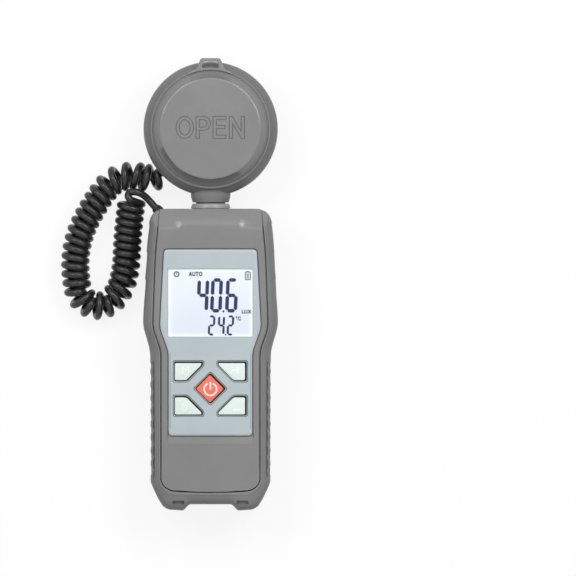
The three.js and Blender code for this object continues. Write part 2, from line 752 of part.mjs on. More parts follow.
// Sensor cap: a flat-faced cover with a sloped wall and a pull tab in the form of a strap loop
function sensorCap() {
  const cover = turned(
    [
      [0, CAP_TOP_Z - 1.4],
      [22, CAP_TOP_Z - 1.4],
      [25.9, 26.9],
      [25.9, 24.6],
      [CAP_R, 24.6],
      [CAP_R, 25.4],
      [27.1, 26.6],
      [CAP_FACE_R + 0.4, CAP_TOP_Z - 0.4],
      [CAP_FACE_R, CAP_TOP_Z],
      [0, CAP_TOP_Z],
    ],
    40,
  );
  const strapRight = [[4.5, 32.5, 1.2], [6.2, 27.6, 1.5], [9, 26.4, 1]];
  const strap = [...strapRight.toReversed(), ...strapRight.map(([x, y, r]) => [-x, y, r])];
  const eye = [[-4.1, 27.9], [4.1, 27.9], [3.4, 30.9], [-3.4, 30.9]];
  const placed = (corners) => corners.map(([x, y, ...rest]) => [x, HEAD_Y + y, ...rest]);
  const tab = prism(roundedShape(placed(strap), 1), 24.7, 26.9, 3);
  const tabOutside = tab.subtract(post(0, HEAD_Y, 26.2, 20, 40, 40));
  return cut(tabOutside.add(cover), prism(roundedShape(placed(eye), 0.8), 20, 30, 3));
}

// Curly cord: the axis that the curls run round, from the head down, round and back up to the meter.
// Each stretch has its length, the degrees that it turns to the left, the pitch of its curls, and
// how far every second curl is drawn in on its left side, to lie outside its neighbours.
const AXIS_STRAIGHT = 1;
const AXIS_STRETCHES = [
  [AXIS_STRAIGHT, 0, 5.2, 0],
  [10, -58, 5.2, 0],
  [5.6, 18, 5.2, 0],
  [13.4, 51, 5.3, 0],
  [18.4, 11, 4, 0],
  [16, 21, 3.9, 0],
  [14, 16, 3.9, 0],
  [2, 2.5, 4.2, 2.8],
  [20, 122, 4.15, 2.9],
  [3, 9, 4.4, 2.9],
  [7, 20.7, 4.8, 0],
  [12, 13, 3.85, 0],
  [14, -4, 3.55, 0],
  [12.4, -3, 3.55, 0],
];
const AXIS_STEP = 0.05;
const AXIS_SETTLES = 16;
const AXIS_EASE = 3;

function axisSamples(start, heading) {
  const samples = [{ at: start.clone(), heading, pitch: AXIS_STRETCHES[0][2], drawnIn: 0 }];
  for (const [length, left, pitch, drawnIn] of AXIS_STRETCHES) {
    const steps = Math.round(length / AXIS_STEP);
    const turned = THREE.MathUtils.degToRad(left) / steps;
    for (let i = 0; i < steps; i++) {
      const last = samples.at(-1);
      const middle = last.heading + turned / 2;
      const at = last.at.clone();
      at.x += AXIS_STEP * Math.cos(middle);
      at.y += AXIS_STEP * Math.sin(middle);
      const settled = Math.min((samples.length * AXIS_STEP) / AXIS_SETTLES, 1);
      at.z = start.z + (CURL_AXIS_Z - start.z) * settled * settled * (3 - 2 * settled);
      samples.push({ at, heading: last.heading + turned, pitch, drawnIn });
    }
  }
  return samples;
}

// One value of every sample, evened out over the length of axis near it
function evened(samples, name) {
  const reach = Math.round(AXIS_EASE / AXIS_STEP);
  return samples.map((_, i) => {
    const near = samples.slice(Math.max(i - reach, 0), i + reach + 1);
    return near.reduce((sum, sample) => sum + sample[name], 0) / near.length;
  });
}

const COIL_START_TURN = 0.25;
const COIL_END_TURN = 0.625;
const CURL_GROWTH = 0.8;
function curls(start, heading) {
  const samples = axisSamples(start, heading);
  const pitch = evened(samples, "pitch");
  const drawnIn = evened(samples, "drawnIn");
  const firstCurled = Math.round(AXIS_STRAIGHT / AXIS_STEP);
  const turns = [0];
  for (let i = 1; i < samples.length; i++) {
    turns.push(turns[i - 1] + (i > firstCurled ? AXIS_STEP / pitch[i] : 0));
  }
  const spare = COIL_END_TURN - COIL_START_TURN;
  const count = Math.floor(turns.at(-1) - spare) + spare;
  const points = [samples[0].at];
  const endWay = new THREE.Vector3();
  let i = firstCurled;
  for (let k = 0; k <= count * STEPS_PER_CURL + 1e-6; k++) {
    const turn = k / STEPS_PER_CURL;
    while (i + 1 < samples.length && turns[i] < turn) i++;
    const angle = -2 * Math.PI * (turn + COIL_START_TURN);
    const grown = Math.min(turn / CURL_GROWTH, 1);
    const radius = CURL_R * grown * grown * (3 - 2 * grown);
    const inward = Math.round(turn + COIL_START_TURN) % 2 ? Math.max(Math.cos(angle), 0) : 0;
    const across = radius * Math.cos(angle) - drawnIn[i] * inward;
    const { at, heading: way } = samples[i];
    const up = radius * Math.sin(angle);
    const ahead = new THREE.Vector3(Math.cos(way), Math.sin(way), 0);
    const side = new THREE.Vector3(-Math.sin(way), Math.cos(way), 0);
    points.push(at.clone().addScaledVector(side, across).addScaledVector(UP, up));
    endWay.copy(ahead).multiplyScalar(pitch[i]);
    endWay.addScaledVector(side, 2 * Math.PI * up);
    endWay.addScaledVector(UP, -2 * Math.PI * across);
  }
  return { points, count, endWay: endWay.normalize() };
}

// A round tube of flat sides through given points, with flat ends square to the first and last step
function tube(points, radius, sides) {
  const rings = [];
  const normal = UP.clone();
  points.forEach((point, i) => {
    const before = points[Math.max(i - 1, 0)];
    const after = points[Math.min(i + 1, points.length - 1)];
    const way = after.clone().sub(before).normalize();
    normal.addScaledVector(way, -normal.dot(way)).normalize();
    const across = way.clone().cross(normal);
    const ring = [];
    for (let s = 0; s < sides; s++) {
      const angle = (2 * Math.PI * s) / sides;
      const at = point.clone();
      at.addScaledVector(normal, radius * Math.cos(angle));
      at.addScaledVector(across, radius * Math.sin(angle));
      ring.push(at);
    }
    rings.push(ring);
  });
  const positions = rings.flat().flatMap((p) => p.toArray());
  const faces = [];
  for (let r = 0; r + 1 < rings.length; r++) {
    for (let s = 0; s < sides; s++) {
      const a = r * sides + s;
      const b = r * sides + ((s + 1) % sides);
      faces.push(a, b, b + sides, a, b + sides, a + sides);
    }
  }
  const last = (rings.length - 1) * sides;
  for (let s = 1; s + 1 < sides; s++) {
    faces.push(0, s + 1, s);
    faces.push(last, last + s, last + s + 1);
  }
  const geometry = new THREE.BufferGeometry();
  geometry.setAttribute("position", new THREE.Float32BufferAttribute(positions, 3));
  geometry.setIndex(faces);
  return solid(geometry);
}

// Least gap between turns of one path that lie at least most of a turn apart along it
function leastGap(points, apart) {
  let least = Infinity;
  for (let i = 0; i < points.length; i++) {
    for (let j = i + apart; j < points.length; j++) {
      least = Math.min(least, points[i].distanceTo(points[j]));
    }
  }
  return least - 2 * WIRE_R;
}

const COIL_START = glandTip(HEAD_GLAND, GAP);
const COIL = curls(COIL_START, HEAD_GLAND_TURN);
const COIL_PATH = COIL.points;
const COIL_WAY = COIL.endWay;
COIL_PATH.push(COIL_PATH.at(-1).clone().addScaledVector(COIL_WAY, 2 * WIRE_R));

// The free lead: from the coil's last curl it rises, turns back over the coil's top, and comes down
// into the strain relief in the meter's shoulder
const LEAD_CREST = new THREE.Vector3(-35.6, 147, 12.8);
const LEAD_RISE = 3;
const LEAD_TURN = 3.8;
const LEAD_FALL = 3.5;
const LEAD_EASE = 3;
const LEAD_STEPS = 12;
const LEAD_SIDES = 8;
function leadPath() {
  const start = COIL_PATH.at(-1).clone().addScaledVector(COIL_WAY, GAP);
  const straightOn = start.clone().addScaledVector(COIL_WAY, WIRE_R);
  const rising = straightOn.clone().addScaledVector(COIL_WAY, LEAD_RISE);
  const back = LEAD_CREST.clone();
  back.x -= LEAD_TURN;
  const onward = LEAD_CREST.clone();
  onward.x += LEAD_FALL;
  const end = glandTip(METER_GLAND, GAP);
  const square = glandTip(METER_GLAND, GAP + 2 * WIRE_R);
  const inward = glandTip(METER_GLAND, GAP + 2 * WIRE_R + LEAD_EASE);
  const turn = new THREE.CubicBezierCurve3(straightOn, rising, back, LEAD_CREST);
  const fall = new THREE.CubicBezierCurve3(LEAD_CREST, onward, inward, square);
  return [start, ...turn.getPoints(LEAD_STEPS), ...fall.getPoints(LEAD_STEPS).slice(1), end];
}
const LEAD_PATH = leadPath();

const NEAREST_TURN = STEPS_PER_CURL - 2;
const coilGap = leastGap(COIL_PATH, NEAREST_TURN);
const curlsBeforeLead = COIL_PATH.slice(0, -3);
const leadGap = Math.min(...LEAD_PATH.slice(4).flatMap((p) => curlsBeforeLead.map((q) => p.distanceTo(q))));
console.log("curls " + COIL.count.toFixed(2) + ", least gap in the coil " + coilGap.toFixed(2) + " mm");
console.log("least gap between lead and coil " + (leadGap - 2 * WIRE_R).toFixed(2) + " mm");

// Finishes
const FINISH = {
  shell: { color: 0x8e8d8f, roughness: 0.5, metalness: 0 },
  rear: { color: 0x7d7d7f, roughness: 0.6, metalness: 0 },
  grip: { color: 0x737375, roughness: 0.75, metalness: 0 },
  fascia: { color: 0xbac5c7, roughness: 0.3, metalness: 0.4 },
  window: { color: 0xe6edf7, roughness: 0.08, metalness: 0 },
  lcd: { color: 0xd8e2ec, roughness: 0.3, metalness: 0 },
  white: { color: 0xf2f2ee, roughness: 0.6, metalness: 0 },
  mint: { color: 0xe6f1eb, roughness: 0.4, metalness: 0 },
  coral: { color: 0xf97c66, roughness: 0.4, metalness: 0 },
  board: { color: 0x2f6b46, roughness: 0.6, metalness: 0 },
  chip: { color: 0x1c1c1e, roughness: 0.5, metalness: 0 },
  rubber: { color: 0x2b2b2c, roughness: 0.8, metalness: 0 },
  metal: { color: 0xb9bcc0, roughness: 0.35, metalness: 1 },
  cell: { color: 0x5c7387, roughness: 0.4, metalness: 0.3 },
  black: { color: 0x202022, roughness: 0.6, metalness: 0 },
  filter: { color: 0x5f8f77, roughness: 0.15, metalness: 0 },
  cap: { color: 0x909091, roughness: 0.5, metalness: 0 },
  cord: { color: 0x2c2c2d, roughness: 0.55, metalness: 0 },
};

const meter = new THREE.Group();
meter.name = "meter";
meter.position.y = -TOTAL_LENGTH / 2;

function add(name, shape, finish) {
  const mesh = new THREE.Mesh(geometryOf(shape), new THREE.MeshStandardMaterial(FINISH[finish]));
  mesh.name = name;
  meter.add(mesh);
}

add("rear_shell", rearShell(), "rear");
add("front_shell", frontShell(), "shell");
add("bumper_frame", bumperFrame(), "grip");
add("fascia_panel", fasciaPanel(), "fascia");
add("display_window", displayWindow(), "window");
add("lcd_glass", lcdGlass(), "lcd");
add("lcd_backlight", lcdBacklight(), "white");
add("lcd_connector", block(-19, 19, 109.4, 111.4, PCB_Z + PCB_THICK + GAP, 28.3), "rubber");
add("main_board", mainBoard(), "board");
add("controller_chip", block(-5, 5, 90, 100, PCB_Z + PCB_THICK + GAP, 20.9), "chip");
add("driver_chip", block(4, 12, 97, 103, 15.8, PCB_Z - GAP), "chip");
add("temperature_sensor", block(-1.5, 1.5, 116.6, 118.4, PCB_Z + PCB_THICK + GAP, 20.6), "chip");
add("keypad_mat", keypadMat(), "rubber");
for (const place of KEYS) {
  add(place.name, key(place), place.name === "key_power" ? "coral" : "mint");
  add(place.name.replace("key", "contact"), contactPill(place), "black");
}
[-1, 0, 1].forEach((i) => add("battery_cell_" + (i + 2), cell(i * CELL_PITCH, i === 0), "cell"));
add("battery_contacts_foot", batteryContacts(true), "metal");
add("battery_contacts_top", batteryContacts(false), "metal");
add("battery_door", batteryDoor(), "rear");
CASE_SCREWS.forEach((place, i) => add("case_screw_" + (i + 1), caseScrew(place), "metal"));
PCB_BOSSES.forEach((place, i) => add("board_screw_" + (i + 1), boardScrew(place), "metal"));
add("dock_collar", dockCollar(), "shell");
add("meter_strain_relief", gland(METER_GLAND), "rubber");

add("head_rear_shell", headRearShell(), "rear");
add("head_front_ring", headFrontRing(), "shell");
add("diffuser_dome", diffuserDome(), "white");
add("colour_filter", post(0, HEAD_Y, 7.7, 18.5, 20, 24), "filter");
add("photodiode", photodiode(), "chip");
add("sensor_holder", sensorHolder(), "black");
add("head_board", post(0, HEAD_Y, HEAD_BOARD_R, 12.2, 13.8, 28), "board");
HEAD_SCREW_TURNS.forEach((turn, i) => add("head_screw_" + (i + 1), headScrew(turn), "metal"));
add("dock_plug", dockPlug(), "shell");
add("dock_seal", dockSeal(), "rubber");
add("head_strain_relief", gland(HEAD_GLAND), "rubber");
add("sensor_cap", sensorCap(), "cap");

add("cord_coil", tube(COIL_PATH, WIRE_R, WIRE_SIDES), "cord");
add("cord_meter_lead", tube(LEAD_PATH, WIRE_R, LEAD_SIDES), "cord");

export default meter;
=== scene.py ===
# %% [markdown]
# # A light meter and its sensor head, dressed for the camera
# The meter lies on its back on a white table: a body with a rubber bumper, a pale fascia with
# a display and five keys, and a round sensor head that docks on the body's end. A curly cord
# joins the two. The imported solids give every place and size; this script gives them their looks.

import json
import math

import bmesh
import bpy
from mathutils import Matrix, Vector

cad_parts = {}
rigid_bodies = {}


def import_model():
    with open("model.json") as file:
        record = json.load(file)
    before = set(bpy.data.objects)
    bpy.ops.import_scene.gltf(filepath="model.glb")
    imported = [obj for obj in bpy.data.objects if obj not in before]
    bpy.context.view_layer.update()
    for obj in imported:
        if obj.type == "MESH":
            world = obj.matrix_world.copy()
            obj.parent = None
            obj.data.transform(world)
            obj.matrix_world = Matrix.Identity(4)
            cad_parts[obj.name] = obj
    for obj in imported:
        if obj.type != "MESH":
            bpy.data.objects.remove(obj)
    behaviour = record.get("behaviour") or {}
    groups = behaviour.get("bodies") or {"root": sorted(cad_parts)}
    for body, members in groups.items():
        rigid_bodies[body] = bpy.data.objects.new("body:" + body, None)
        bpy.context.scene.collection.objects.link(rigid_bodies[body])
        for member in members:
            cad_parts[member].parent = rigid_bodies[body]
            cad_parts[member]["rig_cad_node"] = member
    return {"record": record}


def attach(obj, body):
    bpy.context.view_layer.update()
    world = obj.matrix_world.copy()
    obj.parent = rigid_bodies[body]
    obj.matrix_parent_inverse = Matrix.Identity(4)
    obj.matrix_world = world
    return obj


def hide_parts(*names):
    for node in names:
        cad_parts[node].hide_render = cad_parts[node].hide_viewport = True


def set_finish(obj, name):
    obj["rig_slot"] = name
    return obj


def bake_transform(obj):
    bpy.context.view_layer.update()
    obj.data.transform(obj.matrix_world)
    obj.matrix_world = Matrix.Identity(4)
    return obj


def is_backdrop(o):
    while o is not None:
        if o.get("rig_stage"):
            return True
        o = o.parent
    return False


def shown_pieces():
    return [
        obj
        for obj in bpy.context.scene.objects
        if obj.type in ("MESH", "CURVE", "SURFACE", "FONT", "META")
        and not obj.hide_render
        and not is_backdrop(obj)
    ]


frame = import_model()
bpy.ops.object.select_all(action="DESELECT")
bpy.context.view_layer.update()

# %% [markdown]
# All shapes are drawn in millimetres from the meter's feet, because that is how the drawing
# was measured. One function turns such a point into the frame's metres.

# %% Millimetres from the feet to metres in the frame
MM = 0.001
FEET = -0.10425


def at(x, y, z):
    return Vector((x * MM, y * MM + FEET, z * MM))


# %% [markdown]
# ## Camera, light and table
# The photograph looks straight down on the meter, from far enough that its sides hardly show,
# so the lens is long. Its width of view at the face of the meter sets the camera's distance.

# %% Camera
FACE_Z = 31.5
VIEW_WIDTH = 265
VIEW_CENTRE = (35.7, 102.58)
LENS = 600
SENSOR = 36

height = FACE_Z + VIEW_WIDTH * LENS / SENSOR
bpy.ops.object.camera_add(location=at(*VIEW_CENTRE, height), rotation=(0, 0, 0))
camera = bpy.context.object
camera.name = "camera"
camera.data.lens = LENS
camera.data.sensor_width = SENSOR
camera.data.clip_start = 0.05
bpy.context.scene.camera = camera
bpy.context.scene.view_settings.view_transform = "Standard"
print("camera at", tuple(round(c, 4) for c in camera.location))

# %% [markdown]
# Five soft boxes hang round the meter: one above its top end, two at its shoulders and two at
# its sides, the right one the strongest. Flat faces mirror none of them, while every soft edge
# that leans to one of them carries a thin bright line. The sky is bright overhead and dim near
# the table, so that steep sides read darker than the face.

# %% Lamps
SOFT_BOX_Z = 0.95
SOFT_BOX_SIZE = 0.28
SOFT_BOXES = {
    "top_box": (0, 0.75, 0.3), "right_box": (0.64, 0.36, 2.8), "left_box": (-0.64, 0.36, 1.9),
    "right_shoulder_box": (0.37, 0.63, 2.4), "left_shoulder_box": (-0.37, 0.63, 2.1),
}

for name, (x, y, power) in SOFT_BOXES.items():
    bpy.ops.object.light_add(type="AREA", location=(x, y, SOFT_BOX_Z))
    soft_box = bpy.context.object
    soft_box.name = name
    soft_box.data.size = SOFT_BOX_SIZE
    soft_box.data.energy = power
    soft_box.rotation_euler = (-soft_box.location).to_track_quat("-Z", "Y").to_euler()
print("soft boxes", len(SOFT_BOXES))

# %% [markdown]
# Shader sums are written as Python sums. A `Value` holds one socket, and its operators add
# Math nodes; `Finish` makes every other node from its type, its settings and its inputs.

# %% The small language for finishes
class Value:
    """A socket that holds a number, so that sums may be written with it."""

    def __init__(self, finish, socket):
        self.finish = finish
        self.socket = socket

    def sum_with(self, operation, *parts):
        inputs = dict(enumerate(parts))
        return Value(self.finish, self.finish.node("ShaderNodeMath", {"operation": operation}, inputs))

    def __add__(self, other):
        return self.sum_with("ADD", self, other)

    def __sub__(self, other):
        return self.sum_with("SUBTRACT", self, other)

    def __mul__(self, other):
        return self.sum_with("MULTIPLY", self, other)

    def __radd__(self, other):
        return self.sum_with("ADD", other, self)

    def __rsub__(self, other):
        return self.sum_with("SUBTRACT", other, self)

    def __rmul__(self, other):
        return self.sum_with("MULTIPLY", other, self)

    def least(self, other):
        return self.sum_with("MINIMUM", self, other)

    def most(self, other):
        return self.sum_with("MAXIMUM", self, other)

    def size(self):
        return self.sum_with("ABSOLUTE", self)


class Finish:
    """A material or sky whose nodes are added one by one."""

    def __init__(self, tree, shader="ShaderNodeBsdfPrincipled", output="ShaderNodeOutputMaterial"):
        self.tree = tree
        self.tree.nodes.clear()
        self.output = self.tree.nodes.new(output)
        self.shader = self.tree.nodes.new(shader)
        self.tree.links.new(self.shader.outputs[0], self.output.inputs["Surface"])

    def feed(self, socket, value):
        if isinstance(value, Value):
            value = value.socket
        if isinstance(value, bpy.types.NodeSocket):
            self.tree.links.new(value, socket)
        else:
            socket.default_value = value

    def node(self, kind, settings=None, inputs=None, output=0):
        made = self.tree.nodes.new(kind)
        for name, setting in (settings or {}).items():
            setattr(made, name, setting)
        for name, value in (inputs or {}).items():
            self.feed(made.inputs[name], value)
        return made.outputs[output]

    def set(self, **values):
        for name, value in values.items():
            self.feed(self.shader.inputs[name.replace("_", " ")], value)

    def place(self, kind="Object"):
        return self.node("ShaderNodeTexCoord", output=kind)

    def axis(self, letter, kind="Object"):
        parts = self.node("ShaderNodeSeparateXYZ", inputs={0: self.place(kind)}, output=letter)
        return Value(self, parts)

    def noise(self, scale, detail=2.0, rough=0.5):
        inputs = {"Vector": self.place(), "Scale": scale, "Detail": detail, "Roughness": rough}
        return Value(self, self.node("ShaderNodeTexNoise", inputs=inputs, output="Fac"))

    def steps(self, value, low, high):
        """A smooth ramp from 0 to 1 between two limits."""
        inputs = {"Value": value, "From Min": low, "From Max": high}
        return Value(self, self.node("ShaderNodeMapRange", {"interpolation_type": "SMOOTHSTEP"}, inputs))

    def mix(self, share, first, second):
        inputs = {0: share, 6: first, 7: second}
        return self.node("ShaderNodeMix", {"data_type": "RGBA"}, inputs, output=2)

    def bump(self, height, distance):
        self.set(Normal=self.node("ShaderNodeBump", inputs={"Height": height, "Distance": distance}))


def tone(*levels):
    """A colour as read from a picture, 0 to 255, in the renderer's linear light."""
    parts = [level / 255 for level in levels]
    linear = [p / 12.92 if p <= 0.04045 else ((p + 0.055) / 1.055) ** 2.4 for p in parts]
    return (*linear, 1.0)


FINISHES = {}


def material(name):
    made = bpy.data.materials.new(name)
    made.use_nodes = True
    FINISHES[name] = made
    return Finish(made.node_tree)


def wear(piece, name):
    piece.data.materials.clear()
    piece.data.materials.append(FINISHES[name])


# %% The sky, and the table
WHITE = (1, 1, 1, 1)
SKY_LOW, SKY_HIGH = 0.1, 0.735
SKY_EDGE = 0.1
TABLE_SIZE = 4
TABLE_Z = -0.0002
TABLE_LIT, TABLE_SEEN = (0.35, 0.35, 0.35, 1), (0.95, 0.95, 0.95, 1)
WHITE_SHARE = 0.86


def rays_that_see_white(finish):
    """1 for the rays that look at the background: camera, mirror and glass rays."""
    total = 0.0
    for name in ("Is Camera Ray", "Is Glossy Ray", "Is Transmission Ray"):
        total = total + Value(finish, finish.node("ShaderNodeLightPath", output=name))
    return total.least(1.0)


sky = bpy.data.worlds.new("sky")
bpy.context.scene.world = sky
sky.use_nodes = True
finish = Finish(sky.node_tree, "ShaderNodeBackground", "ShaderNodeOutputWorld")
lit = finish.steps(finish.axis("Z", "Generated"), SKY_EDGE, 1.0) * (SKY_HIGH - SKY_LOW) + SKY_LOW
finish.set(Strength=rays_that_see_white(finish) * (1.0 - lit) + lit, Color=WHITE)

bpy.ops.mesh.primitive_plane_add(size=TABLE_SIZE, location=(0, 0, TABLE_Z))
table = bpy.context.object
table.name = "table"
bpy.ops.object.transform_apply(location=True)
finish = material("white_table")
seen = rays_that_see_white(finish)
finish.set(Base_Color=finish.mix(seen, TABLE_LIT, TABLE_SEEN), Roughness=0.9)
glow = finish.node("ShaderNodeEmission", inputs={"Color": WHITE, "Strength": 1.0})
inputs = {0: seen * WHITE_SHARE, 1: finish.shader.outputs[0], 2: glow}
finish.feed(finish.output.inputs["Surface"], finish.node("ShaderNodeMixShader", inputs=inputs))
wear(table, "white_table")
table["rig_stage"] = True
print("table", TABLE_SIZE, "m wide")

# %% [markdown]
# ## The curly cord
# A coil cord is a helix wound round a curved axis. The axis is a chain of stretches, from the
# sensor head down, round and back up to the meter. Each stretch has its length, the degrees that
# it turns to the left, the pitch of its curls, and how far every second curl is drawn in on its
# left side, so that no curl lies in its neighbour where the axis bends.

# %% The axis of the coil
CORD_R = 1.5
JACKET_R = 1.68
CURL_R = 5.05
CURL_AXIS_Z = 6.7
AXIS_STRAIGHT = 1
AXIS_STRETCHES = [
    (AXIS_STRAIGHT, 0, 5.2, 0), (10, -58, 5.2, 0), (5.6, 18, 5.2, 0), (13.4, 51, 5.3, 0),
    (18.4, 11, 4, 0), (16, 21, 3.9, 0), (14, 16, 3.9, 0), (2, 2.5, 4.2, 2.8), (20, 122, 4.15, 2.9),
    (3, 9, 4.4, 2.9), (7, 20.7, 4.8, 0), (12, 13, 3.85, 0), (14, -4, 3.55, 0), (12.4, -3, 3.55, 0),
]
AXIS_STEP = 0.05
AXIS_SETTLES = 16
AXIS_EASE = 3
GAP = 0.3
HEAD_Y = 176
BOWL_R = 25.5
HEAD_GLAND_TURN = math.radians(222)
HEAD_GLAND_WAY = (math.cos(HEAD_GLAND_TURN), math.sin(HEAD_GLAND_TURN))
HEAD_GLAND = {
    "base": (BOWL_R * HEAD_GLAND_WAY[0], HEAD_Y + BOWL_R * HEAD_GLAND_WAY[1]),
    "way": HEAD_GLAND_WAY, "z": 9.4, "reach": 3.2, "seat": 2.9,
}
METER_GLAND = {"base": (-24, 138), "way": (-0.66, 0.75), "z": 10, "reach": 2.4, "seat": 2.9}


def gland_tip(place, beyond):
    out = place["reach"] + beyond
    (x, y), (dx, dy) = place["base"], place["way"]
    return Vector((x + dx * out, y + dy * out, place["z"]))


def smooth(share):
    share = min(max(share, 0), 1)
    return share * share * (3 - 2 * share)


def axis_samples(start, heading):
    samples = [(start.copy(), heading, AXIS_STRETCHES[0][2], 0)]
    for length, left, pitch, drawn_in in AXIS_STRETCHES:
        steps = round(length / AXIS_STEP)
        turned = math.radians(left) / steps
        for _ in range(steps):
            last, way = samples[-1][:2]
            middle = way + turned / 2
            point = last + Vector((math.cos(middle), math.sin(middle), 0)) * AXIS_STEP
            settled = smooth(len(samples) * AXIS_STEP / AXIS_SETTLES)
            point.z = start.z + (CURL_AXIS_Z - start.z) * settled
            samples.append((point, way + turned, pitch, drawn_in))
    return samples


def evened(values):
    """Each value becomes the mean of those near it along the axis."""
    reach = round(AXIS_EASE / AXIS_STEP)
    near = [values[max(i - reach, 0) : i + reach + 1] for i in range(len(values))]
    return [sum(part) / len(part) for part in near]


# %% The curls round it
CURL_STEPS = 24
COIL_START_TURN = 0.25
COIL_END_TURN = 0.625
CURL_GROWTH = 0.8


def curls(start, heading):
    samples = axis_samples(start, heading)
    pitch = evened([sample[2] for sample in samples])
    drawn_in = evened([sample[3] for sample in samples])
    first = round(AXIS_STRAIGHT / AXIS_STEP)
    turns = [0]
    for i in range(1, len(samples)):
        turns.append(turns[-1] + (AXIS_STEP / pitch[i] if i > first else 0))
    spare = COIL_END_TURN - COIL_START_TURN
    count = math.floor(turns[-1] - spare) + spare
    points = [samples[0][0]]
    i = first
    for k in range(round(count * CURL_STEPS) + 1):
        turn = k / CURL_STEPS
        while i + 1 < len(samples) and turns[i] < turn:
            i += 1
        angle = -2 * math.pi * (turn + COIL_START_TURN)
        radius = CURL_R * smooth(turn / CURL_GROWTH)
        odd = math.floor(turn + COIL_START_TURN + 0.5) % 2
        across = radius * math.cos(angle) - odd * drawn_in[i] * max(math.cos(angle), 0)
        centre, way = samples[i][:2]
        side = Vector((-math.sin(way), math.cos(way), 0))
        up = radius * math.sin(angle)
        points.append(centre + side * across + Vector((0, 0, up)))
    ahead = Vector((math.cos(way), math.sin(way), 0)) * pitch[i]
    end_way = ahead + (side * up - Vector((0, 0, across))) * 2 * math.pi
    return points, count, end_way.normalized()


# %% The lead into the meter, and the cord's mesh
LEAD_CREST = Vector((-35.6, 147, 12.8))
LEAD_RISE = 3
LEAD_TURN = Vector((3.8, 0, 0))
LEAD_FALL = Vector((3.5, 0, 0))
LEAD_EASE = 3
LEAD_STEPS = 24
CORD_SIDES_LEVEL = 3


def bezier(a, b, c, d):
    points = []
    for k in range(1, LEAD_STEPS + 1):
        share = k / LEAD_STEPS
        rest = 1 - share
        near = a * rest**3 + b * 3 * rest**2 * share
        points.append(near + c * 3 * rest * share**2 + d * share**3)
    return points


coil_points, curl_count, coil_way = curls(gland_tip(HEAD_GLAND, GAP), HEAD_GLAND_TURN)
coil_points.append(coil_points[-1] + coil_way * 2 * CORD_R)
lead_from = coil_points[-1] + coil_way * (GAP + CORD_R)
lead_to = gland_tip(METER_GLAND, GAP + 2 * CORD_R)
lead_inward = gland_tip(METER_GLAND, GAP + 2 * CORD_R + LEAD_EASE)
rising = bezier(lead_from, lead_from + coil_way * LEAD_RISE, LEAD_CREST - LEAD_TURN, LEAD_CREST)
falling = bezier(LEAD_CREST, LEAD_CREST + LEAD_FALL, lead_inward, lead_to)
lead = [lead_from, *rising, *falling]
IN_GLAND = -1.2
route = [gland_tip(HEAD_GLAND, IN_GLAND), *coil_points, *lead, gland_tip(METER_GLAND, IN_GLAND)]
cord_length = sum((b - a).length for a, b in zip(route, route[1:])) * MM

bpy.ops.curve.primitive_nurbs_path_add()
cord = bpy.context.object
cord.name = cord.data.name = "curly_cord"
cord.data.splines.clear()
line = cord.data.splines.new("POLY")
line.points.add(len(route) - 1)
for spot, point in zip(line.points, route):
    spot.co = (*at(*point), 1)
cord.data.bevel_depth = JACKET_R * MM
cord.data.bevel_resolution = CORD_SIDES_LEVEL
cord.data.use_fill_caps = True
bpy.ops.object.convert(target="MESH")
bpy.ops.object.shade_smooth()
at(*gland_tip(HEAD_GLAND, 0))
[at(*point) for point in route]
at(-30.0, 149.4, 9.4)
at(-25.2, 155.8, 9.4)
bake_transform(cord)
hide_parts("cord_coil", "cord_meter_lead")
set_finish(cord, "cord")
print("curls", curl_count, "cord length", round(cord_length, 3), "m, vertices", len(cord.data.vertices))

# %% [markdown]
# ## Modelling by hand, in code
# A moulded case is a stack of outlines. A filled circle with as many corners as the outline has
# is put on the first outline, then its face is extruded once for each further layer. Every
# corner remembers its number, so that each new layer knows where its corners go.

# %% Drawing a piece up through its outlines
def pick(piece):
    bpy.ops.object.select_all(action="DESELECT")
    piece.select_set(True)
    bpy.context.view_layer.objects.active = piece


def edit(piece):
    """Opens a piece in edit mode, with all of its mesh selected."""
    pick(piece)
    bpy.ops.object.mode_set(mode="EDIT")
    bpy.ops.mesh.select_all(action="SELECT")


def put_on(piece, ring):
    mesh = bmesh.from_edit_mesh(piece.data)
    spot = mesh.verts.layers.int["spot"]
    for corner in mesh.verts:
        if corner.select:
            corner.co = at(*ring[corner[spot]])
    bmesh.update_edit_mesh(piece.data)


def numbered_circle(name, count, fill):
    bpy.ops.mesh.primitive_circle_add(vertices=count, radius=0.01, fill_type=fill)
    piece = bpy.context.object
    piece.name = piece.data.name = name
    edit(piece)
    mesh = bmesh.from_edit_mesh(piece.data)
    spot = mesh.verts.layers.int.new("spot")
    for number, corner in enumerate(mesh.verts):
        corner[spot] = number
    bmesh.update_edit_mesh(piece.data)
    return piece


def smooth_edges(piece, angle=30):
    pick(piece)
    bpy.ops.object.shade_smooth_by_angle(angle=math.radians(angle))


def finish_shape(piece):
    bpy.ops.mesh.select_all(action="SELECT")
    bpy.ops.mesh.normals_make_consistent(inside=False)
    bpy.ops.object.mode_set(mode="OBJECT")
    piece.data.attributes.remove(piece.data.attributes["spot"])
    smooth_edges(piece)
    return piece


def draw_up(name, rings):
    piece = numbered_circle(name, len(rings[0]), "NGON")
    for number, ring in enumerate(rings):
        if number:
            bpy.ops.mesh.extrude_region_move()
        put_on(piece, ring)
    return finish_shape(piece)


def level(loop, z):
    return [(x, y, z) for x, y in loop]


def prism(name, loop, low, high):
    return draw_up(name, [level(loop, low), level(loop, high)])


# %% [markdown]
# Round parts are spun: the half section is drawn as a closed ring of corners on one side of the
# axis, and the spin tool turns it once round. Doubles at the seam and on the axis are merged
# before the normals are made to agree.

# %% Spinning a half section
HEAD_AXIS = ("Z", (0, HEAD_Y, 0))
DOCK_Z = 16
DOCK_OVAL = 0.78
DOCK_AXIS = ("Y", (0, 0, DOCK_Z))
MERGED = 0.000002


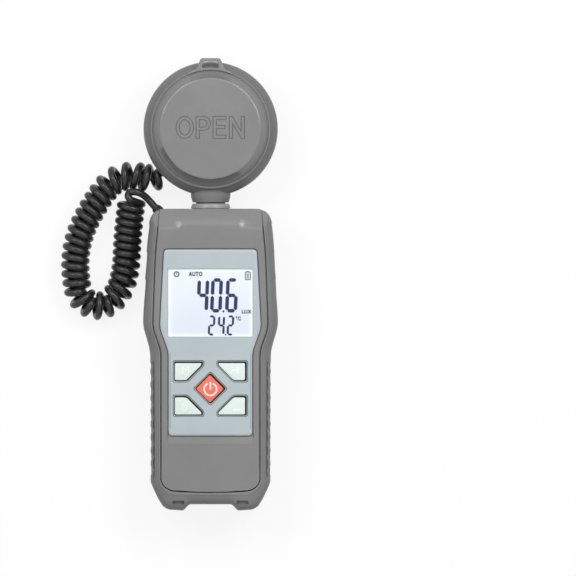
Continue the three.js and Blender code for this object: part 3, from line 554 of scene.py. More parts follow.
def spun(name, profile, axis, steps=96):
    way, (cx, cy, cz) = axis
    upright = way == "Z"
    ring = [(cx + r, cy, cz + h) if upright else (cx + r, cy + h, cz) for r, h in profile]
    piece = numbered_circle(name, len(profile), "NOTHING")
    put_on(piece, ring)
    turn_axis = (0, 0, 1) if upright else (0, 1, 0)
    bpy.ops.mesh.spin(steps=steps, angle=math.tau, center=at(cx, cy, cz), axis=turn_axis)
    bpy.ops.mesh.select_all(action="SELECT")
    bpy.ops.mesh.remove_doubles(threshold=MERGED)
    return finish_shape(piece)


# %% [markdown]
# Openings are cut with Boolean modifiers, and pieces of one moulding are joined the same way.
# The cutter is a piece too, drawn slightly longer than the wall it goes through, and removed
# once the modifier is applied.

# %% Cutting and joining
def boolean(piece, tool, operation):
    modifier = piece.modifiers.new("boolean", "BOOLEAN")
    modifier.operation = operation
    modifier.solver = "EXACT"
    modifier.object = tool
    bpy.context.view_layer.objects.active = piece
    bpy.ops.object.modifier_apply(modifier=modifier.name)
    bpy.data.objects.remove(tool)


def cut(piece, *tools):
    for tool in tools:
        boolean(piece, tool, "DIFFERENCE")


def weld(piece, *tools):
    for tool in tools:
        boolean(piece, tool, "UNION")


def give(piece, body, slot, *nodes):
    """A finished piece gets its body, its finish and the solids that it stands for."""
    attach(piece, body)
    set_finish(piece, slot)
    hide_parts(*nodes)
    print(piece.name, "rides on", body, "with", len(piece.data.polygons), "faces")


# %% Loops: rounded corners, offsets, circles
def corners_of(loop):
    """Each corner of a loop, with its place and the places before and after it."""
    for i, corner in enumerate(loop):
        near = (corner, loop[i - 1], loop[(i + 1) % len(loop)])
        yield corner, *(Vector(place[:2]) for place in near)


def left_of(before, here, after):
    """The left-hand normals of the two edges that meet in a corner, added up."""
    first, second = (here - before).normalized(), (after - here).normalized()
    return Vector((-first.y - second.y, first.x + second.x))


def rounded(corners, radius, steps=6):
    loop = []
    for corner, here, before, after in corners_of(corners):
        wanted = corner[2] if len(corner) > 2 else radius
        reach = min(wanted, 0.45 * (here - before).length, 0.45 * (here - after).length)
        start = here + (before - here).normalized() * reach
        end = here + (after - here).normalized() * reach
        for k in range(steps + 1):
            share = k / steps
            point = start * (1 - share) ** 2 + here * 2 * share * (1 - share) + end * share**2
            loop.append((point.x, point.y))
    return loop


def mirrored(right):
    return [*right, *[(-x, *rest) for x, *rest in reversed(right)]]


def offset(loop, distance, blunt=0.8):
    """An anticlockwise loop moved inwards by a distance; a sharp corner stays a little blunt."""
    moved = []
    for (x, y), here, before, after in corners_of(loop):
        inward = left_of(before, here, after)
        reach = 2 * distance / max(inward.length_squared, blunt)
        moved.append((x + inward.x * reach, y + inward.y * reach))
    return moved


def layered(name, loop, layers):
    """A piece of one loop, at each height moved inwards by that layer's inset."""
    return draw_up(name, [level(offset(loop, inset), z) for z, inset in layers])


def box_loop(x0, x1, y0, y1):
    return [(x0, y0), (x1, y0), (x1, y1), (x0, y1)]


def rectangle(half, low, high):
    return box_loop(-half, half, low, high)


def bow(x, y, radius, start, end, steps):
    """Places on a part of a circle, from one angle to another."""
    turns = [start + (end - start) * i / steps for i in range(steps + 1)]
    return [(x + radius * math.cos(a), y + radius * math.sin(a)) for a in turns]


def circle(x, y, radius, sides=48):
    return bow(x, y, radius, 0, math.tau, sides)[:-1]


def post(x, y, radius, low, high, sides=32):
    return prism("post", circle(x, y, radius, sides), low, high)


def block(x0, x1, y0, y1, low, high):
    return prism("block", box_loop(x0, x1, y0, y1), low, high)


def across(outline_yz, half):
    """A solid drawn from the side, in Y and Z, that reaches as far to the left as to the right."""
    return draw_up("wedge", [[(x, y, z) for y, z in outline_yz] for x in (-half, half)])


# %% [markdown]
# ## The meter's outline
# Each height above the feet has two widths: the outside of the bumper, and the groove between
# bumper and case. An outline between them is a mix of both, so that one share, from 0 at the
# outside to 1 at the groove, gives every layer of the case and the bumper.

# %% Widths, ribs and scallops
BODY_TOP_Y = 139.1
OUTER_WIDTHS = [(13.2, 27.6), (73.6, 27.8), (85.3, 31.2), (100.3, 30.5), (126.5, 29.1), (133.4, 28.2)]
GROOVE_WIDTHS = [(14.3, 22.8), (73.6, 22.8), (84.4, 26.6), (104, 25.9), (117.8, 25.4), (139.1, 23.4)]
WAIST_SOFTNESS = 2.4
RIB_FROM_Y = 18.7
RIB_TO_Y = 67.2
RIBS = 8
RIB_DEPTH = 0.7
SCALLOP_NOTCHES = [93.4, 106.3, 119.1]
SCALLOP_PITCH = 12.9
SCALLOP_DEPTH = 0.45


def straight(stations, y):
    for (y0, w0), (y1, w1) in zip(stations, stations[1:]):
        if y <= y1:
            return w0 + (w1 - w0) * max(y - y0, 0) / (y1 - y0)
    return stations[-1][1]


def width_at(stations, y):
    reach = max(min(WAIST_SOFTNESS, y - stations[0][0], stations[-1][0] - y), 0)
    return sum(straight(stations, y + part * reach) for part in (-1, -0.5, 0, 0.5, 1)) / 5


def grip_depth(y):
    if RIB_FROM_Y <= y <= RIB_TO_Y:
        turn = (y - RIB_FROM_Y) / (RIB_TO_Y - RIB_FROM_Y) * RIBS
        return RIB_DEPTH * (1 - abs(math.sin(turn * math.pi)))
    for notch in SCALLOP_NOTCHES:
        if notch < y <= notch + SCALLOP_PITCH:
            return SCALLOP_DEPTH * (y - notch) / SCALLOP_PITCH
    return 0


def between(a, b, share):
    return [p + (q - p) * share for p, q in zip(a, b)]


def softened(rows, reach, steps=5):
    """Rounds the corners of a chain of rows, all numbers of a row alike."""
    eased = [rows[0]]
    for before, here, after in zip(rows, rows[1:], rows[2:]):
        back = min(reach / math.dist(here[:2], before[:2]), 0.48)
        ahead = min(reach / math.dist(here[:2], after[:2]), 0.48)
        start, end = between(here, before, back), between(here, after, ahead)
        for k in range(steps + 1):
            share = k / steps
            eased.append(between(between(start, here, share), between(here, end, share), share))
    eased.append(rows[-1])
    return eased


# %% The outline itself: foot, sides, shoulder
FOOT = [
    [0, 2.9, 0, 8.5], [9.8, 2.9, 7, 8.6], [12.5, 0, 12, 8.9], [19.5, 0.5, 15.5, 9.1],
    [22, 2, 18, 9.3], [24.3, 5.8, 20.6, 10.6], [26.3, 10, 22.1, 12.3], [27.6, 13.2, 22.8, 14.3],
]
SHOULDER = [
    [28.2, 133.4, 24, 133.4], [27.2, 136, 23.7, 136], [25.5, 137.9, 23.5, 137.9],
    [23.1, 138.7, 23.3, 138.9], [21, 139.1, 21, 139.1], [0, 139.1, 0, 139.1],
]
FIRST_SIDE_Y = 16
LAST_SIDE_Y = 131


def side_row(y, grip=0):
    outer = width_at(OUTER_WIDTHS, y)
    return [outer - grip * grip_depth(y), y, width_at(GROOVE_WIDTHS, y), y]


CORNER_REACH = 0.9
FOOT_ROWS = softened([*FOOT, side_row(FIRST_SIDE_Y)], CORNER_REACH)[:-1]
SHOULDER_ROWS = softened([side_row(LAST_SIDE_Y), *SHOULDER], CORNER_REACH)[1:]
RIB_ROWS = 10
rib_step = (RIB_TO_Y - RIB_FROM_Y) / (RIBS * RIB_ROWS)
SIDE_HEIGHTS = [
    FIRST_SIDE_Y,
    *[RIB_FROM_Y + i * rib_step for i in range(RIBS * RIB_ROWS + 1)],
    *range(68, 93),
    *[notch + rise for notch in SCALLOP_NOTCHES for rise in (-0.25, 0, 0.25, 3, 6, 9)],
    LAST_SIDE_Y,
]


def half_outline(share, grip=0):
    rows = [*FOOT_ROWS, *[side_row(y, grip) for y in SIDE_HEIGHTS], *SHOULDER_ROWS]
    return [tuple(between(row[:2], row[2:], share)) for row in rows]


def outline(share):
    right = half_outline(share)
    return [*right, *[(-x, y) for x, y in reversed(right[1:-1])]]


print("outline points", len(outline(0)))

# %% [markdown]
# ## Rear case
# The rear case is a shallow tray with rounded lower edges. It carries the battery bay with its
# sliding door, four screw wells, and the half holes for the dock and the cord's strain relief.

# %% Rear case
BACK_SPLIT_Z = 15
WALL = 2.2
BAY_HALF, BAY_LOW, BAY_HIGH, BAY_ROOF = 16.6, 12.6, 63, 13.5
CASE_SCREWS = [(-20.6, 15.5), (20.6, 15.5), (-20.3, 126.4), (20.3, 126.4)]
SCREW_HEAD_R = 2.3
SCREW_HEAD_Z = 9
SCREW_R = 1
BOSS_R = 3.4
COLLAR_HOLE = (120, 141, 8.9)


def along_gland(name, place, profile, steps=32):
    """A round piece spun about the line on which a strain relief points out of its shell."""
    piece = spun(name, profile, ("Y", (0, 0, 0)), steps)
    (x, y), (dx, dy) = place["base"], place["way"]
    edit(piece)
    turn = math.atan2(dy, dx) - math.pi / 2
    bpy.ops.transform.rotate(value=-turn, orient_axis="Z", center_override=at(0, 0, 0))
    bpy.ops.transform.translate(value=at(x, y, place["z"]) - at(0, 0, 0))
    bpy.ops.object.mode_set(mode="OBJECT")
    return piece


def gland_hole(place):
    bore = [(0, 6), (2.8, 6), (2.8, -1.7), (3.6, -1.7), (3.6, -7.7), (0, -7.7)]
    return along_gland("bore", place, bore)


def flattened(piece):
    """A piece that was spun round, pressed to the dock's oval."""
    edit(piece)
    bpy.ops.transform.resize(value=(1, 1, DOCK_OVAL), center_override=at(0, 0, DOCK_Z))
    bpy.ops.object.mode_set(mode="OBJECT")
    return piece


def dock_hole(low, high, radius):
    profile = [(0, low), (radius, low), (radius, high), (0, high)]
    return flattened(spun("dock_hole", profile, DOCK_AXIS, 64))


def screw_well(x, y, low):
    """The wide bore for a screw's head, from the back, and the narrow one for its shaft."""
    return post(x, y, SCREW_HEAD_R + GAP, low, SCREW_HEAD_Z), post(x, y, SCREW_R + GAP, 0, 20)


BACK_LAYERS = [
    (0, 0.55), (0.3, 0.47), (0.8, 0.38), (1.6, 0.27), (2.6, 0.18), (4, 0.11), (8, 0.04),
    (BACK_SPLIT_Z, 0.04),
]
rear_case = draw_up("rear_case", [level(outline(share), z) for z, share in BACK_LAYERS])
upper_room = rounded(mirrored([(24.6, 66), (24.6, 74.5), (28, 86), (26.4, 124), (21, 135.5)]), 1.5)
cut(
    rear_case,
    prism("room", upper_room, WALL, 16),
    block(-24.6, -18.8, 20.5, 63.8, WALL, 16),
    block(18.8, 24.6, 20.5, 63.8, WALL, 16),
)
weld(rear_case, *[post(x, y, BOSS_R, 1, BACK_SPLIT_Z) for x, y in CASE_SCREWS[2:]])
cut(
    rear_case,
    block(-BAY_HALF, BAY_HALF, BAY_LOW, BAY_HIGH, 1, BAY_ROOF),
    block(-16.2, 16.2, -1, BAY_HIGH, -1, 1.3),
    block(-17.3, 17.3, -1, BAY_HIGH, 1.2, 2.8),
    across([(133, 0), (141, 4.6), (141, -10), (133, -10)], 40),
    dock_hole(*COLLAR_HOLE),
    gland_hole(METER_GLAND),
)
for x, y in CASE_SCREWS:
    cut(rear_case, *screw_well(x, y, -1))
smooth_edges(rear_case)
give(rear_case, "meter", "rear", "rear_shell")

# %% [markdown]
# ## Front case
# The front case stands inside the bumper like a tower with a rounded rim. The fascia and the
# display sit in its face; the lower end of their pocket is a slope that catches the light.

# %% Front case
FLANGE_Z = 18
FOOT_FACE_Z = 30.7
POCKET_Z = 30.5
POCKET_LOW_Y = 30.9
FASCIA_FLOOR_Z = 30.4
TOP_WALL_Z = 28.4
FASCIA = mirrored([(19.2, 34.7, 2), (19.2, 73.2, 2.5), (23.2, 84.2, 2.5), (21.3, 120.3, 2)])
FASCIA_SEAT = mirrored([
    (19.75, 34.15, 2.2), (19.75, 73.2, 2.5), (23.75, 84.2, 2.5), (21.85, 120.85, 2.2),
])
RIM = [(17, 0), (30.2, 0), (30.3, 0.12), (31.0, 0.2), (31.15, 0.3), (31.42, 0.75), (31.5, 1.15)]

KEY_CENTRE_Y = 56.3
POWER_HALF = 7.8


def key_corners(right, top):
    corners = [(3, 12.8), (3, 10.5), (10.5, 3), (17.1, 3), (17.1, 12.8)]
    placed = [(right * x, KEY_CENTRE_Y + top * y) for x, y in corners]
    return placed if right * top > 0 else placed[::-1]


KEY_SIDES = {"key_mode": (-1, 1), "key_hold": (1, 1), "key_display": (-1, -1), "key_backlight": (1, -1)}
POWER_CORNERS = [(0, -POWER_HALF), (POWER_HALF, 0), (0, POWER_HALF), (-POWER_HALF, 0)]
KEYS = {node: key_corners(*sides) for node, sides in KEY_SIDES.items()}
KEYS["key_power"] = [(x, KEY_CENTRE_Y + y) for x, y in POWER_CORNERS]


def key_loop(corners, inset, radius):
    return rounded(offset(corners, inset, 0), radius)


def key_cutter(corners, rings):
    return draw_up("key_cutter", [level(key_loop(corners, -grown, 1.1), z) for z, grown in rings])


front_case = draw_up("front_case", [level(outline(0.06), z) for z in (BACK_SPLIT_Z + GAP, FLANGE_Z)])
weld(front_case, layered("tower", outline(1.02), RIM))
room = rounded(mirrored([(20.4, 11.6), (20.4, 74.2), (24, 85.4), (22.8, 129.6)]), 1.5)
fall = [(POCKET_LOW_Y, FACE_Z), (8, FOOT_FACE_Z), (0, FOOT_FACE_Z), (0, 36), (POCKET_LOW_Y, 36)]
slope_side = [(POCKET_LOW_Y, FACE_Z), (34.4, POCKET_Z), (36, POCKET_Z), (36, 34), (POCKET_LOW_Y, 34)]
slope = across(slope_side, 25)
POCKET = [(-20, POCKET_LOW_Y, 2.4), (20, POCKET_LOW_Y, 2.4), (20, 36, 0.2), (-20, 36, 0.2)]
boolean(slope, prism("pocket", rounded(POCKET, 1), 28, 34), "INTERSECT")
cut(
    front_case,
    prism("room", room, BACK_SPLIT_Z - 1, TOP_WALL_Z),
    prism("seat", rounded(FASCIA_SEAT, 2), FASCIA_FLOOR_Z, FACE_Z + 1),
    prism("display", rounded(rectangle(20.9, 79.2, 112.3), 1), 25, FACE_Z),
    across(fall, 30),
    slope,
    *[key_cutter(corners, [(20, 0), (FACE_Z, 0)]) for corners in KEYS.values()],
    dock_hole(*COLLAR_HOLE),
)

# %% [markdown]
# The top end falls away from a soft crease. In the middle it is one slanting plane; beyond
# each shoulder it also falls to the side, and the two corners between these planes catch the
# light as two short bright streaks.

# %% Top bevel
CREASE_Y = 130.6
END_Z = 27.5
END_LENGTH = BODY_TOP_Y - CREASE_Y
SHOULDER_X, SHOULDER_LEAN, SHOULDER_TURN = 13, 0.06, 0.3
SIDE_FALL, SIDE_EASE = 0.06, 5
FLANK_DROP, FLANK_WIDTH, FLANK_EASE = 0.42, 2.3, 3.2
SOFT_CREASE = 1.2
SHEET_LOW, SHEET_LONG, SHEET_ROWS = 3.2, 14, 40
SHEET_LIFT = 0.002
FINE_FROM_X, FINE_STEP, FINE_STEPS = 12.6, 0.3, 20
ROOF = 0.012


def rounded_run(past):
    """How far a place lies beyond the crease, which begins softly."""
    if past > SOFT_CREASE:
        return past
    return (past + SOFT_CREASE) ** 2 / (4 * SOFT_CREASE) if past > -SOFT_CREASE else 0


def end_height(x, y):
    """Height of the slanting end at a place, with its crease and corners rounded."""
    past = y - CREASE_Y + SHOULDER_LEAN * max(abs(x) - SHOULDER_X, 0)
    run = rounded_run(past)
    fall = (FACE_Z - END_Z) / END_LENGTH * run * (0.5 + 0.5 * run / END_LENGTH)
    beyond = abs(x) - SHOULDER_X - SHOULDER_TURN * max(y - CREASE_Y, 0)
    flank = FLANK_DROP * min(max(beyond / FLANK_WIDTH, 0), 1) * smooth(past / FLANK_EASE + 0.5)
    return FACE_Z - fall - SIDE_FALL * max(beyond, 0) * smooth(past / SIDE_EASE) - flank


def end_cutter():
    """Everything above the slanting end: a sheet of small faces with a roof over it."""
    shoulders = [side * (FINE_FROM_X + FINE_STEP * i) for side in (-1, 1) for i in range(FINE_STEPS)]
    xs = sorted([*range(-32, 34, 2), *shoulders])
    columns = len(xs) - 1
    bpy.ops.mesh.primitive_grid_add(x_subdivisions=columns, y_subdivisions=SHEET_ROWS, size=1)
    cutter = bpy.context.object
    edit(cutter)
    mesh = bmesh.from_edit_mesh(cutter.data)
    for corner in mesh.verts:
        x = xs[round((corner.co.x + 0.5) * columns)]
        row = round((corner.co.y + 0.5) * SHEET_ROWS)
        y = CREASE_Y - SHEET_LOW + SHEET_LONG * row / SHEET_ROWS
        corner.co = at(x, y, end_height(x, y) + SHEET_LIFT)
    bmesh.update_edit_mesh(cutter.data)
    bpy.ops.mesh.extrude_region_move(TRANSFORM_OT_translate={"value": (0, 0, ROOF)})
    bpy.ops.mesh.select_all(action="SELECT")
    bpy.ops.mesh.normals_make_consistent(inside=False)
    bpy.ops.object.mode_set(mode="OBJECT")
    return cutter


cut(front_case, end_cutter())
smooth_edges(front_case, 25)
give(front_case, "meter", "shell", "front_shell")

# %% [markdown]
# ## Rubber bumper
# The bumper is one section swept round both sides and the foot. From the outside in it has a
# steep wall with ribs for the hand, a smooth sloping band, a fine crease, and a flat bead that
# lies along the groove.
#
# Each row of the section gives its height at the sides and at the foot, its share of the way
# to the groove, and how much of the grip it has.

# %% Bumper
BUMPER_SECTION = [
    (18.3, 18.3, 0, 1), (24.4, 24.4, 0, 1), (26.4, 26.8, 0.07, 1), (27.7, 28.3, 0.19, 1),
    (28.2, 28.8, 0.27, 0.7), (28.35, 29.2, 0.33, 0.2), (29.2, 29.6, 0.42, 0), (30.0, 30.15, 0.58, 0),
    (30.4, 30.5, 0.69, 0), (30.45, 30.6, 0.73, 0), (30.8, 30.75, 0.765, 0), (31.0, 31.0, 0.82, 0),
    (31.0, 31.0, 0.9, 0), (30.85, 30.85, 0.95, 0), (30.6, 30.6, 0.965, 0), (18.3, 18.3, 0.97, 0),
]
FOOT_ENDS_Y, FOOT_EASE = 12, 6
CREASE_DEPTH = 0.9
CREASE_LOW_Y, CREASE_HIGH_Y, CREASE_EASE = 14, 70, 3
CREASE_ROW = 5
PAST_END = 13
SLOT_X, SLOT_HALF, SLOT_LOW, SLOT_HIGH, SLOT_FLOOR_Z = 14.75, 2.75, 3, 4.7, 27.8


def crease_at(y):
    begun, left = (y - CREASE_LOW_Y) / CREASE_EASE, (CREASE_HIGH_Y - y) / CREASE_EASE
    return CREASE_DEPTH * smooth(begun) * smooth(left)


def bumper_rings():
    sections = [half_outline(share, grip) for _, _, share, grip in BUMPER_SECTION]
    stations = []
    for places in zip(*sections):
        ring = []
        for (side_z, foot_z, _, _), (x, y) in zip(BUMPER_SECTION, places):
            beside = smooth((y - FOOT_ENDS_Y) / FOOT_EASE)
            ring.append([x, y, foot_z + (side_z - foot_z) * beside])
        crease = ring[CREASE_ROW]
        crease[2] -= crease_at(crease[1])
        stations.append(ring)
    return stations


right = bumper_rings()[:-PAST_END]
left = [[(-x, y, z) for x, y, z in ring] for ring in right[:0:-1]]
bumper = draw_up("rubber_bumper", [*left, *right])
cut(bumper, end_cutter())
for x in (-SLOT_X, SLOT_X):
    slot = rounded(box_loop(x - SLOT_HALF, x + SLOT_HALF, SLOT_LOW, SLOT_HIGH), 0.5)
    cut(bumper, prism("slot", slot, SLOT_FLOOR_Z, 40))
smooth_edges(bumper, 32)
give(bumper, "meter", "grip", "bumper_frame")

# %% [markdown]
# ## Fascia and display
# The fascia is a pale satin plate with a chamfered rim. Each key opening has a narrow chamfer,
# cut by a tool that widens at the top. The display is a sandwich of two glass plates on a
# light box, with the figures between the glass and a clear cover.

# %% Fascia plate
FASCIA_Z = 32
FASCIA_LOW_Z = FASCIA_FLOOR_Z + GAP
WINDOW_HALF, WINDOW_LOW, WINDOW_HIGH = 19.7, 80, 111.5
FASCIA_RIM = [(FASCIA_LOW_Z, 0), (31.55, 0), (31.65, 0.06), (31.94, 0.8), (FASCIA_Z, 1.1)]
KEY_CHAMFER = [(20, -0.5), (31.2, -0.5), (31.4, -0.42), (31.7, 0), (FASCIA_Z, 0.28), (33, 0.3)]


def window_loop(gap, radius):
    return rounded(rectangle(WINDOW_HALF - gap, WINDOW_LOW + gap, WINDOW_HIGH - gap), radius)


fascia = layered("fascia_plate", rounded(FASCIA, 2), FASCIA_RIM)
cut(fascia, prism("window", window_loop(0, 0.8), 20, 40))
cut(fascia, *[key_cutter(corners, KEY_CHAMFER) for corners in KEYS.values()])
smooth_edges(fascia, 25)
give(fascia, "meter", "fascia", "fascia_panel")

# %% Display: glass plates and clear cover
LCD_LOW_Z, LCD_TOP_Z = 28.6, 31.2
COVER_LAYERS = [(LCD_TOP_Z + 0.12, 0), (FASCIA_Z - 0.3, 0), (FASCIA_Z - 0.2, 0.1)]

lcd = prism("lcd_panel", rectangle(20.5, 79.6, 111.9), LCD_LOW_Z, FASCIA_FLOOR_Z)
weld(lcd, prism("upper_glass", window_loop(0.15, 0.6), 29, LCD_TOP_Z))
give(lcd, "meter", "lcd", "lcd_glass")
cover = layered("display_cover", window_loop(0.1, 0.7), COVER_LAYERS)
give(cover, "meter", "window", "display_window")

# %% [markdown]
# A seven-segment figure is drawn from one bar. Each bar is a thin six-sided plate; the plates of
# one reading are joined to one piece. The upper row slants a little, as on most glass displays.

# %% Figures on the glass
SEGMENTS = {
    "a": ((0, 2), (1, 2)), "b": ((1, 1), (1, 2)), "c": ((1, 0), (1, 1)), "d": ((0, 0), (1, 0)),
    "e": ((0, 0), (0, 1)), "f": ((0, 1), (0, 2)), "g": ((0, 1), (1, 1)),
}
FIGURES = {"0": "abcdef", "2": "abdeg", "4": "bcfg", "6": "acdefg"}
INK_Z = (LCD_TOP_Z - 0.02, LCD_TOP_Z + 0.06)
SLANT = 0.045
SEGMENT_POINT, SEGMENT_GAP = 0.42, 0.1


def join_pieces(name, pieces):
    pick(pieces[0])
    for piece in pieces:
        piece.select_set(True)
    bpy.ops.object.join()
    joined = bpy.context.object
    joined.name = joined.data.name = name
    return joined


def bar(start, end, width, levels=INK_Z, point=0):
    """A plate between two places; its share of a point makes both ends sharp."""
    a, b = Vector(start), Vector(end)
    way = (b - a).normalized()
    side = Vector((-way.y, way.x)) * width / 2
    tips = way * width * point
    loop = [a, a + tips - side, b - tips - side, b, b - tips + side, a + tips + side]
    return prism("bar", [tuple(p) for p in loop], *levels)


def figure(digit, left, low, wide, tall, width):
    bars = []
    for name in FIGURES[digit]:
        ends = []
        for u, v in SEGMENTS[name]:
            y = low + width / 2 + v * (tall - width) / 2
            ends.append(Vector((left + width / 2 + u * (wide - width) + SLANT * (y - low), y)))
        gap = (ends[1] - ends[0]).normalized() * width * SEGMENT_GAP
        bars.append(bar(ends[0] + gap, ends[1] - gap, width, point=SEGMENT_POINT))
    return bars


# %% [markdown]
# A reading has its lower edge, its height and its stroke, then each figure with its left edge
# and its width, and last the round point between two figures.

# %% The two readings
READINGS = [
    ("light_reading", 91.3, 15.8, 1.65,
     [("4", -6.55, 5.4), ("0", -0.25, 5.4), ("6", 6.65, 5.6)], (6.0, 91.8, 0.5)),
    ("warmth_reading", 80.7, 9.3, 1.0,
     [("2", -1.25, 3.2), ("4", 3.2, 3.2), ("2", 7.4, 3.2)], (7.0, 81.1, 0.4)),
]

for name, low, tall, stroke, digits, dot in READINGS:
    plates = []
    for digit, left, wide in digits:
        plates += figure(digit, left, low, wide, tall, stroke)
    plates.append(prism("dot", circle(*dot, 16), *INK_Z))
    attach(join_pieces(name, plates), "meter")
    print(name, len(plates), "plates")

# %% Letters and small marks on the glass
LETTER_WEIGHT = 0.05
LETTER_MERGED = 0.00001
LETTERS = {
    "LUX": (14.4, 18.9, 90.8, 92.6), "AUTO": (-10, -3.7, 108, 110.1), "°C": (11.6, 14.0, 87.6, 89.6),
}
CLOCK, CLOCK_R = (-15.6, 108.95), 1.1
MARK_LINES = [
    ((16.6, 110.1), (17.8, 110.1), 0.4), *[((16.6, y), (17.9, y), 0.42) for y in (107.2, 108.1, 109.0)],
    (CLOCK, (-15.6, 109.7), 0.28), (CLOCK, (-15.1, 108.95), 0.28),
]


def words(name, text, box, levels, weight=0.0):
    """Flat letters fitted into a box, as a mesh with the given lower and upper height."""
    x0, x1, y0, y1 = box
    bpy.ops.object.text_add()
    lettering = bpy.context.object
    lettering.data.body = text
    lettering.data.extrude = (levels[1] - levels[0]) / 2 * MM
    lettering.data.resolution_u = 6
    lettering.data.offset = weight
    lettering.data.space_character = 1 + 4 * weight
    bpy.ops.object.convert(target="MESH")
    lettering.name = lettering.data.name = name
    spots = [corner.co for corner in lettering.data.vertices]
    left, right = min(p.x for p in spots), max(p.x for p in spots)
    low, high = min(p.y for p in spots), max(p.y for p in spots)
    edit(lettering)
    bpy.ops.mesh.remove_doubles(threshold=LETTER_MERGED)
    size = ((x1 - x0) * MM / (right - left), (y1 - y0) * MM / (high - low), 1)
    bpy.ops.transform.resize(value=size, center_override=(left, low, 0))
    bpy.ops.transform.translate(value=at(x0, y0, sum(levels) / 2) - Vector((left, low, 0)))
    bpy.ops.mesh.normals_make_consistent(inside=False)
    bpy.ops.object.mode_set(mode="OBJECT")
    return lettering


def framed(loop, width):
    return [bar(a, b, width) for a, b in zip(loop, [*loop[1:], loop[0]])]


marks = [words("letters", text, box, INK_Z, LETTER_WEIGHT) for text, box in LETTERS.items()]
marks += framed(box_loop(16.1, 18.4, 106.4, 109.9), 0.32) + framed(circle(*CLOCK, CLOCK_R, 24), 0.5)
marks += [bar(*line) for line in MARK_LINES]
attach(join_pieces("display_marks", marks), "meter")

# %% [markdown]
# ## Keys
# Four mint keys and a coral one sit a little below the fascia, each with a soft edge. Behind
# each cap is the flange that holds it in, and a plunger that reaches the contact on the board.

# %% Keys
KEY_TOP_Z = 31.7
KEY_GAP = 0.95
KEY_SHIFT = Vector((-0.22, -0.1))
PLUNGER_R = 2.2
PLUNGER_X, PLUNGER_Y = 11.3, 8.9
KEY_LOW_Z = 26.9
PLUNGER_LOW_Z = 21.2
KEY_EDGE = [(27.4, 0), (KEY_TOP_Z - 0.3, 0), (KEY_TOP_Z - 0.08, 0.08), (KEY_TOP_Z, 0.28)]

for node, corners in KEYS.items():
    right, top = KEY_SIDES.get(node, (0, 0))
    shifted = [tuple(Vector(corner) + KEY_SHIFT) for corner in corners]
    rings = [level(key_loop(shifted, KEY_GAP + inset, 0.8), z) for z, inset in KEY_EDGE]
    key = draw_up(node.replace("key_", "") + "_key", rings)
    plunger = post(right * PLUNGER_X, KEY_CENTRE_Y + top * PLUNGER_Y, PLUNGER_R, PLUNGER_LOW_Z, 27.2)
    weld(key, prism("flange", key_loop(corners, -0.6, 1), KEY_LOW_Z, TOP_WALL_Z - GAP), plunger)
    smooth_edges(key)
    give(key, node, "coral" if node == "key_power" else "mint", node)

# %% Marks printed on the keys
PRINT = (KEY_TOP_Z - 0.02, KEY_TOP_Z + 0.05)
RING_R, RING_STROKE, RING_GAP = 2.85, 0.72, 24
RING_TURNS = (math.radians(90 + RING_GAP), math.radians(450 - RING_GAP), 40)
KEY_MARKS = {
    "mode": ("M", (-13, -9.8, 63.2, 66.4)), "hold": ("H", (9.6, 12.8, 63.2, 66.4)),
    "display": ("D", (-13, -10.6, 46.2, 49.2)),
}

outer, inner = [
    bow(0, KEY_CENTRE_Y - 0.3, RING_R + side * RING_STROKE / 2, *RING_TURNS) for side in (1, -1)
]
ring = prism("ring", [*outer, *inner[::-1]], *PRINT)
stem = bar((0, KEY_CENTRE_Y - 0.4), (0, KEY_CENTRE_Y + 3.1), RING_STROKE, PRINT)
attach(join_pieces("power_mark", [ring, stem]), "key_power")
for name, (letter, box) in KEY_MARKS.items():
    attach(words(name + "_mark", letter, box, PRINT), "key_" + name)
backlight_mark = bar((10.4, 46.6), (14.2, 46.6), 0.8, PRINT)
backlight_mark.name = backlight_mark.data.name = "backlight_mark"
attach(backlight_mark, "key_backlight")
print("marks on the keys", 2 + len(KEY_MARKS))

# %% [markdown]
# ## Sensor head
# The head is a round bowl closed by a front ring. A frosted dome stands in the ring, and a
# lift-off cap covers it. All are spun about one axis; the holes for the screws, the dock and
# the cord are cut afterwards.

# %% Head bowl and front ring
HEAD_R = 31
HEAD_SPLIT_Z = 16
BOWL_PROFILE = [
    (0, 3), (17.4, 3), (18.6, 3.15), (20.6, 3.8), (22.4, 4.6), (23.9, 5.8), (24.9, 7.6), (25.3, 9.6),
    (25.5, 12.0), (25.8, 12.9), (26.6, 13.5), (28.6, 14.0), (29.8, 14.4), (30.6, 14.95), (30.95, 15.5),
    (HEAD_R, HEAD_SPLIT_Z), (23.2, HEAD_SPLIT_Z), (23.2, 8.6), (22.6, 6.9), (20.8, 5.4), (0, 5.4),
]
RING_PROFILE = [
    (18.6, 16.3), (30.9, 16.3), (31, 16.5), (31, 17.9), (30.9, 18.7), (30.55, 20.1), (29.6, 21.6),
    (28.5, 23.0), (27.8, 23.8), (27.3, 24.15), (26.8, 24.2), (25.6, 24.2), (25.6, 26.4), (21.2, 26.4),
    (21.2, 21.6), (18.6, 21.6),
]
COLLAR_R = 9.15
PLUG_HOLE = (140, 152.6, COLLAR_R + GAP)
SCREW_CIRCLE = 20
HEAD_BOSS_R = 3.1


def around_head(radius, degrees):
    turn = math.radians(degrees)
    return radius * math.cos(turn), HEAD_Y + radius * math.sin(turn)


HEAD_SCREWS = [around_head(SCREW_CIRCLE, turn) for turn in (90, 210, 330)]
head_bowl = spun("head_bowl", BOWL_PROFILE, HEAD_AXIS, 128)
weld(head_bowl, *[post(x, y, HEAD_BOSS_R, 4, HEAD_SPLIT_Z) for x, y in HEAD_SCREWS])
for x, y in HEAD_SCREWS:
    cut(head_bowl, *screw_well(x, y, 0))
cut(head_bowl, dock_hole(*PLUG_HOLE), gland_hole(HEAD_GLAND))
smooth_edges(head_bowl)
give(head_bowl, "head", "rear", "head_rear_shell")

